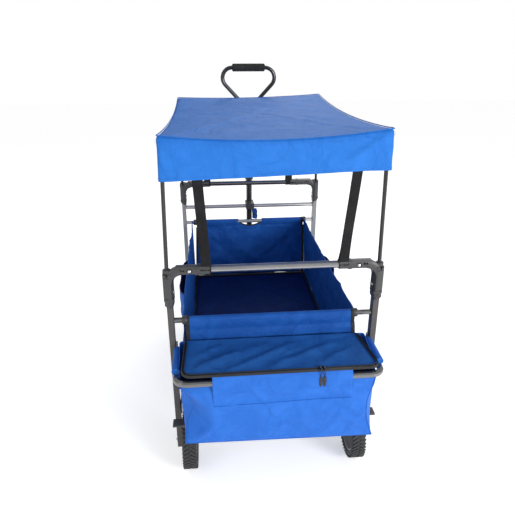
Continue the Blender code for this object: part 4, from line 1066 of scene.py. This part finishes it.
def bag_wall(base, out, t, u, v):
    near = max(0.0, 1 - 4.5 * v)
    sunk = 0.030 * max(0.0, sin(pi * t)) ** 0.8 * (1 if u < 0.5 else 0.0)
    back = min(1.0, max(0.0, (v - 0.25) / 0.15))
    left = -0.2275 - 0.007 * t + 0.0285 * sin(pi * t ** 1.9) * near
    right = 0.2285 - 0.0015 * t - 0.0200 * sin(pi * t) * near
    x = left + (right - left) * u
    under_lid = lid_front_z + (lid_back_z - lid_front_z) * (base.y - lid_near) / (lid_far - lid_near) - 0.002
    rim = rim_z - 0.0095 + (under_lid - rim_z + 0.0095) * back - 0.016 * near * (exp(-(u / 0.09) ** 2) + 0.5 * exp(-((1 - u) / 0.08) ** 2))
    z = base.z + (rim - base.z) * t
    fall = z - bag_low.z
    y = base.y
    if out.y < 0:
        inside = min(1.0, 9 * min(u, 1 - u))
        puff = 0.0030 * sin(pi * t) * inside + inside * (0.0024 * soft_fold((x, 0, z), 8, 2.7) + 0.001 * soft_fold((x, 0, z), 21, 1.9))
        puff += 0.0050 * ridge(x, fall, (0.226, 0.010), (0.120, 0.085), 0.0075)
        puff += 0.0042 * ridge(x, fall, (0.222, 0.050), (0.135, 0.105), 0.0065)
        puff += 0.0036 * ridge(x, fall, (0.215, 0.095), (0.165, 0.022), 0.0065)
        puff += 0.0060 * ridge(x, fall, (-0.226, 0.004), (-0.150, 0.062), 0.0080)
        puff += 0.0040 * ridge(x, fall, (-0.150, 0.060), (-0.175, 0.160), 0.0080)
        puff += 0.0026 * ridge(x, fall, (-0.06, 0.015), (0.07, 0.080), 0.010)
        crease = -0.2215 + 0.056 * sin(pi * t ** 0.75)
        if u < 0.5 and crease > left:
            y += sunk * min(1.0, max(0.0, (crease - x) / (crease - left)))
        y += -0.0015 - puff + 0.010 * max(0.0, (t - 0.9) / 0.1)
    elif out.x:
        y += sunk * max(0.0, 1 - 2 * v)
        swell = 0.0045 * sin(pi * t) * sin(pi * v) + 0.0018 * soft_fold((0, y, z), 11, 3.3 + out.x)
        x += out.x * min(0.006, swell)
    else:
        y -= 0.002 * sin(pi * t) * sin(pi * u)
    return x, y, z


BAG_COLUMNS, BAG_ROWS, BAG_STEPS = 72, 14, 26
bag_verts, bag_faces, bag_uvs = skirted(
    BAG_COLUMNS, BAG_ROWS, BAG_STEPS, bag_floor, bag_wall, 0.456, bag_high.y - bag_low.y, BAG_TALL)
bag_sheet = sheet_object("bag_body", bag_verts, bag_faces, bag_uvs, bag_blue, 0.0012, 1)
bag_first, bag_round = (BAG_COLUMNS + 1) * (BAG_ROWS + 1), 2 * (BAG_COLUMNS + BAG_ROWS)
cords = []
for corner, spot in ((0, 0), (BAG_COLUMNS, BAG_COLUMNS)):
    run = [Vector(bag_verts[corner])] + [Vector(bag_verts[bag_first + k * bag_round + spot]) for k in range(BAG_STEPS)]
    cords.append(sweep("cord", run, oval(0.0034, 0.0034, 2, 8), (1, 0, 0), bag_blue))
foot = [Vector(bag_verts[i]) for i in range(BAG_COLUMNS + 1)]
cords.append(sweep("cord", foot, oval(0.0032, 0.0032, 2, 8), (0, 1, 0), bag_blue))
bag_piping = merged("bag_piping", *cords)


def flap(u, v):
    x = FLAP_LEFT + (FLAP_RIGHT - FLAP_LEFT) * u
    edge = min(1.0, 10 * min(u, 1 - u))
    if v < 0.25:
        a = pi / 2 * (v / 0.25) * 1.05
        return x, rim_y - 0.0098 * sin(a), rim_z + 0.0098 * cos(a)
    s = (v - 0.25) / 0.75
    slope = 0.004 * (1 - u)
    z = rim_z - 0.0005 - (0.0670 + slope) * s
    y = rim_y - 0.0098 - 0.0010 * min(1.0, 3 * s) - 0.0020 * sin(pi * min(1.0, 1.1 * s)) * edge
    y -= 0.0026 * (1 - edge) * (1 if u < 0.5 else 0.5)
    y -= edge * (0.0016 * soft_fold((x, 0, z), 10, 7.1) + 0.0008 * noise.noise(Vector((x * 40, z * 20, 0))))
    deep = bag_wall(Vector((x, bag_low.y + 0.003, bag_low.z)), Vector((0, -1, 0)), (z - bag_low.z) / BAG_TALL, (x + 0.215) / 0.43, 0.0)[1]
    return x, min(y, deep - 0.0010), z


flap_verts, flap_faces, flap_uvs = grid(66, 28, flap, FLAP_RIGHT - FLAP_LEFT, 0.10)
flap_sheet = sheet_object("bag_flap", flap_verts, flap_faces, flap_uvs, bag_blue, 0.0012, 1, True)
flap_rows = [[Vector(flap_verts[j * 67 + i]) - Vector((0, 0.0008, 0)) for i in range(1, 66)] for j in (17, 26)]
flap_stitches = along_runs("bag_flap_stitches", flap_rows, thread_blue)
flap_hem = sweep(
    "bag_flap_hem", [Vector(flap_verts[28 * 67 + i]) for i in range(67)], oval(0.0030, 0.0026, 2, 8), (0, 1, 0), bag_blue)

arms = []
for s in (-1, 1):
    run = [Vector((s * arm_x, rim_y + 0.030 + 0.094 * k / 10, rim_z)) for k in range(11)]
    rings = [oval(0.0192 + 0.0010 * noise.noise(Vector((k * 0.9, s, 1))), 0.0188, 2, 14) for k in range(11)]
    arms.append(sweep("arm", run, rings, (1, 0, 0), bag_blue))
arm_sleeves = merged("bag_arm_sleeves", *arms)
for piece in (bag_sheet, bag_piping, flap_sheet, flap_stitches, flap_hem, arm_sleeves):
    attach(piece, "rear_frame")
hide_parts("rear_bag")

LID_CORNER = 0.024


def lid_edge_x(s, v):
    return (-0.2265 + 0.006 * v) if s < 0 else (0.2325 - 0.024 * v)


def lid_top(u, v):
    left, right = lid_edge_x(-1, v), lid_edge_x(1, v)
    x = left + (right - left) * u
    y = lid_near + (lid_far - lid_near) * v
    over_x = LID_CORNER - min(x - left, right - x)
    over_y = LID_CORNER - (y - lid_near)
    if over_x > 0 and over_y > 0:
        reach = max(over_x, over_y) / sqrt(over_x ** 2 + over_y ** 2)
        x += (over_x - over_x * reach) * (1 if u < 0.5 else -1)
        y += over_y - over_y * reach
    inside = min(1.0, 9 * min(u, 1 - u, 1.4 * v, 1 - v))
    z = lid_front_z + (lid_back_z - lid_front_z) * v - 0.0030 * inside
    z += inside * (0.0020 * soft_fold((x, y, 0), 8, 6.2) + 0.001 * soft_fold((x, y, 0), 23, 2.2))
    z += 0.0075 * ridge(x, y - rim_y, (-0.215, 0.012), (-0.09, 0.075), 0.013) * inside
    z += 0.0060 * ridge(x, y - rim_y, (-0.13, 0.006), (0.05, 0.100), 0.009) * inside
    z += 0.0055 * ridge(x, y - rim_y, (-0.04, 0.006), (0.15, 0.095), 0.010) * inside
    z += 0.0045 * ridge(x, y - rim_y, (0.08, 0.008), (0.20, 0.080), 0.009) * inside
    z += 0.0040 * ridge(x, y - rim_y, (-0.21, 0.060), (-0.12, 0.110), 0.010) * inside
    return x, y, z


lid_verts, lid_faces, lid_uvs = grid(84, 26, lid_top, 0.455, lid_far - lid_near)
lid_sheet = sheet_object("bag_lid_cloth", lid_verts, lid_faces, lid_uvs, lid_blue_painted_shade, 0.0012, 1)


def zip_line(offset, z):
    """Points round the lid's three zipped sides, that far outside its edge."""
    back = lid_far - 0.006
    high = z + lid_back_z - lid_front_z
    return smooth_path(
        [(lid_edge_x(-1, 1) - offset, back, high), (lid_edge_x(-1, 0) - offset, lid_near - offset, z),
         (lid_edge_x(1, 0) + offset, lid_near - offset, z), (lid_edge_x(1, 1) + offset, back, high)],
        LID_CORNER + offset, 8)


zip_z = tube_high.z + 0.0016
inner_tape = sweep("zip_tape_inner", zip_line(-0.0026, zip_z + 0.0006), oval(0.0062, 0.0013, 4, 8), (0, 1, 0), piping_black)
outer_tape = sweep("zip_tape_outer", zip_line(0.0036, zip_z), oval(0.0062, 0.0013, 4, 8), (0, 1, 0), piping_black)
teeth = along_runs("zip_teeth", [zip_line(0.0014, zip_z + 0.0010)], gloss_black, 0.0026, 0.0015, 0.0030, 0.0016, True)
for piece, body in ((lid_sheet, "bag_lid"), (inner_tape, "bag_lid"), (outer_tape, "rear_frame"), (teeth, "rear_frame")):
    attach(piece, body)
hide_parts("bag_lid")

for side, s in (("left", -1), ("right", 1)):
    low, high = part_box(f"zip_pull_{side}")
    x, y, top = (low.x + high.x) / 2, (low.y + high.y) / 2 - 0.0035, high.z - 0.001
    run, rings = [], []
    for k in range(13):
        t = k / 12
        run.append((x, y - 0.0010 * sin(pi * t), top - (top - low.z) * t))
        wide = 0.0056 + 0.0024 * sin(pi * min(1.0, 0.08 + 0.86 * t))
        rings.append(oval(wide * (1 if t < 1 else 0.45), 0.0022 if t < 1 else 0.001, 2.5, 12))
    drop = sweep("drop", run, rings, (1, 0, 0), gunmetal)
    slider = sweep(
        "slider", [(x, rim_y - 0.010, zip_z + 0.0028), (x, rim_y + 0.004, zip_z + 0.0030)], oval(0.0078, 0.0050, 4, 14), (1, 0, 0), gunmetal)
    loop = sweep(
        "loop", smooth_path([(x, rim_y - 0.006, zip_z + 0.005), (x, y, zip_z + 0.0055), (x, y, top - 0.004)], 0.004, 5),
        oval(0.0026, 0.0016, 2, 8), (1, 0, 0), gunmetal)
    pull = merged(f"zip_pull_metal_{side}", drop, slider, loop)
    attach(pull, f"zip_{side}")
    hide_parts(f"zip_pull_{side}")
paint_nodes(dark_chrome, "rear_top_tube", "bag_frame")

# ------------------------------------------------------------------ wheels
# Black rubber tyres with a herringbone tread on grey moulded hubs with ribs and a cap, the rear pair on one
# axle and the front pair in plated casters.
tyre_rubber = finish("tyre_rubber", (0.020, 0.020, 0.021), (0.040, 0.040, 0.042), 0.72, 0, 0.35, (0.09, 0.085, 0.08), 0.00015)
hub_grey = finish("hub_grey", (0.17, 0.17, 0.18), (0.24, 0.24, 0.25), 0.45, 0, 0.25, (0.32, 0.32, 0.32), 0.0001)


def ring_tree():
    """Places bars evenly round a circle, each turned to the circle and then tilted about its own radius."""
    tree = bpy.data.node_groups.new("ring_of_bars", "GeometryNodeTree")
    face = tree.interface
    ids = {}
    face.new_socket("Geometry", in_out="INPUT", socket_type="NodeSocketGeometry")
    for label, kind in (("Radius", "NodeSocketFloat"), ("Count", "NodeSocketInt"), ("Tilt", "NodeSocketFloat"),
                        ("Long", "NodeSocketFloat"), ("Across", "NodeSocketFloat"), ("Deep", "NodeSocketFloat"),
                        ("Finish", "NodeSocketMaterial")):
        ids[label] = face.new_socket(label, in_out="INPUT", socket_type=kind).identifier
    face.new_socket("Geometry", in_out="OUTPUT", socket_type="NodeSocketGeometry")
    given, result = tree.nodes.new("NodeGroupInput"), tree.nodes.new("NodeGroupOutput")
    circle = tree.nodes.new("GeometryNodeCurvePrimitiveCircle")
    tree.links.new(given.outputs["Count"], circle.inputs["Resolution"])
    tree.links.new(given.outputs["Radius"], circle.inputs["Radius"])
    spot, tangent = tree.nodes.new("GeometryNodeInputPosition"), tree.nodes.new("GeometryNodeInputTangent")
    up = tree.nodes.new("FunctionNodeAlignRotationToVector")
    up.axis = "Z"
    tree.links.new(spot.outputs["Position"], up.inputs["Vector"])
    along = tree.nodes.new("FunctionNodeAlignRotationToVector")
    along.axis, along.pivot_axis = "X", "Z"
    tree.links.new(up.outputs["Rotation"], along.inputs["Rotation"])
    tree.links.new(tangent.outputs["Tangent"], along.inputs["Vector"])
    lean = tree.nodes.new("FunctionNodeAxisAngleToRotation")
    lean.inputs["Axis"].default_value = (0, 0, 1)
    tree.links.new(given.outputs["Tilt"], lean.inputs["Angle"])
    turn = tree.nodes.new("FunctionNodeRotateRotation")
    turn.rotation_space = "LOCAL"
    tree.links.new(along.outputs["Rotation"], turn.inputs[0])
    tree.links.new(lean.outputs["Rotation"], turn.inputs[1])
    size = tree.nodes.new("ShaderNodeCombineXYZ")
    for label, socket in (("Long", "X"), ("Across", "Y"), ("Deep", "Z")):
        tree.links.new(given.outputs[label], size.inputs[socket])
    brick = tree.nodes.new("GeometryNodeMeshCube")
    place = tree.nodes.new("GeometryNodeInstanceOnPoints")
    tree.links.new(circle.outputs["Curve"], place.inputs["Points"])
    tree.links.new(brick.outputs["Mesh"], place.inputs["Instance"])
    tree.links.new(turn.outputs["Rotation"], place.inputs["Rotation"])
    tree.links.new(size.outputs["Vector"], place.inputs["Scale"])
    real = tree.nodes.new("GeometryNodeRealizeInstances")
    tree.links.new(place.outputs["Instances"], real.inputs["Geometry"])
    coat = tree.nodes.new("GeometryNodeSetMaterial")
    tree.links.new(real.outputs["Geometry"], coat.inputs["Geometry"])
    tree.links.new(given.outputs["Finish"], coat.inputs["Material"])
    tree.links.new(coat.outputs["Geometry"], result.inputs["Geometry"])
    return tree, ids


ring_nodes, ring_ids = ring_tree()


def ring(name, centre, along, phase, values):
    """A ring of bars about a wheel's axle, that far along it."""
    host = bpy.data.objects.new(name + "_host", bpy.data.meshes.new(name + "_host"))
    scene.collection.objects.link(host)
    made = made_by(name, host, ring_nodes, ring_ids, values)
    made.data.transform(
        Matrix.Translation(Vector(centre) + Vector((along, 0, 0))) @ Matrix.Rotation(pi / 2, 4, "Y")
        @ Matrix.Rotation(phase, 4, "Z"))
    return made


for where in ("rear", "front"):
    for side, s in (("left", -1), ("right", 1)):
        low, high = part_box(f"{where}_tyre_{side}")
        hub_low, hub_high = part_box(f"{where}_hub_{side}")
        centre = (low + high) / 2
        radius, half = (high.z - low.z) / 2, (high.x - low.x) / 2
        carcass = radius - 0.0024
        inner = radius - 0.020
        profile = [(-half + 0.005, inner), (-half + 0.001, inner + 0.004), (-half, inner + 0.009), (-half + 0.0012, carcass - 0.006),
                   (-half + 0.005, carcass - 0.0012), (-half * 0.4, carcass), (half * 0.4, carcass), (half - 0.005, carcass - 0.0012),
                   (half - 0.0012, carcass - 0.006), (half, inner + 0.009), (half - 0.001, inner + 0.004), (half - 0.005, inner)]
        body = turned("carcass", centre, (1, 0, 0), profile, tyre_rubber, 56)
        count = 44
        rows = [body]
        for place, tilt, phase in ((-0.52, 0.62, 0.0), (0.52, -0.62, 0.5)):
            rows.append(ring(
                "blocks", centre, place * half, 2 * pi * phase / count,
                {"Radius": radius - 0.0021, "Count": count, "Tilt": tilt, "Long": 0.0050, "Across": half * 0.98,
                 "Deep": 0.0042, "Finish": tyre_rubber}))
        tyre = merged(f"{where}_tyre_rubber_{side}", *rows)
        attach(tyre, f"{where}_wheel_{side}")
        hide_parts(f"{where}_tyre_{side}")

        bore = 0.006
        hub_half = min(half - 0.0035, (hub_high.x - hub_low.x) / 2 - 0.0005)
        rim = inner + 0.0012
        dish = [(-hub_half, bore), (-hub_half, 0.0150), (-hub_half + 0.002, 0.0165), (-hub_half * 0.35, 0.0185), (-hub_half * 0.35, rim - 0.006),
                (-hub_half + 0.001, rim - 0.004), (-hub_half + 0.0005, rim), (hub_half - 0.0005, rim), (hub_half - 0.001, rim - 0.004),
                (hub_half * 0.35, rim - 0.006), (hub_half * 0.35, 0.0185), (hub_half - 0.002, 0.0165), (hub_half, 0.0150), (hub_half, bore)]
        disc = turned("disc", centre, (1, 0, 0), dish, hub_grey, 48)
        ribs = ring(
            "ribs", centre, 0, 0,
            {"Radius": (0.0165 + rim) / 2, "Count": 6, "Tilt": 0.0, "Long": 0.0048, "Across": 1.72 * hub_half,
             "Deep": rim - 0.0190, "Finish": hub_grey})
        cap = turned(
            "cap", centre + Vector((s * hub_half, 0, 0)), (s, 0, 0),
            [(-0.001, 0.0115), (0.0012, 0.0115), (0.0022, 0.0100), (0.0026, 0.0040), (0.0026, 0.0005)], nylon)
        hub = merged(f"{where}_hub_plastic_{side}", disc, ribs, cap)
        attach(hub, f"{where}_wheel_{side}")
        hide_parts(f"{where}_hub_{side}")

# ------------------------------------------------------------------ handle
# A telescopic handle: a dark alloy tube with a slimmer one sliding in it, bent into a loop whose top bar
# carries a foam grip.  The canopy's blue storage roll is tied beside it.
handle_metal = finish("handle_alloy", (0.030, 0.031, 0.034), (0.05, 0.051, 0.055), 0.28, 0.7, 0.15, (0.25, 0.25, 0.25), 0.00002)
foam = finish("grip_foam", (0.010, 0.010, 0.010), (0.018, 0.018, 0.018), 0.9, 0, 0.0, (0.05, 0.05, 0.05), 0.0004)
paint_nodes(handle_metal, "handle_outer_tube", "handle_inner_tube")
low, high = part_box("handle_grip")
centre = (low + high) / 2
reach, thick = (high.x - low.x) / 2, (high.z - low.z) / 2
profile = [(-reach, 0.008), (-reach, thick - 0.003), (-reach + 0.0012, thick - 0.0012), (-reach + 0.004, thick)]
profile += [(-reach + 0.008 + (2 * reach - 0.016) * k / 24, thick + 0.0004 * sin(2.6 * k)) for k in range(25)]
profile += [(reach - 0.004, thick), (reach - 0.0012, thick - 0.0012), (reach, thick - 0.003), (reach, 0.008)]
grip = turned("handle_grip_foam", centre, (1, 0, 0), profile, foam, 28)
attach(grip, "handle_slider")
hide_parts("handle_grip")

roll_x, roll_y, roll_z = 0.0205, front_y + 0.026, front_tube_z + 0.002
path, rings = [], []
for k in range(15):
    t = k / 14
    path.append((roll_x + 0.002 * sin(4 * t), roll_y + 0.003 * t, roll_z + 0.038 * t))
    swell = 0.0215 - 0.0060 * exp(-((t - 0.45) / 0.10) ** 2) - 0.003 * (2 * t - 1) ** 4
    rings.append([(u * (1 + 0.10 * noise.noise(Vector((u * 150, v * 150, t * 4)))), v) for u, v in oval(swell, swell * 0.9, 2.2, 16)])
roll = sweep("storage_roll", path, rings, (1, 0, 0), basket_blue)
tie = sweep(
    "roll_tie", [(roll_x + 0.0088 * cos(2 * pi * k / 20), roll_y + 0.0015 + 0.0080 * sin(2 * pi * k / 20), roll_z + 0.0170) for k in range(20)],
    oval(0.0046, 0.0020, 3, 8), (0, 0, 1), piping_black, True)
for piece, slot in ((roll, "blue_cloth"), (tie, "black_webbing")):
    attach(piece, "front_frame")

low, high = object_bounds()
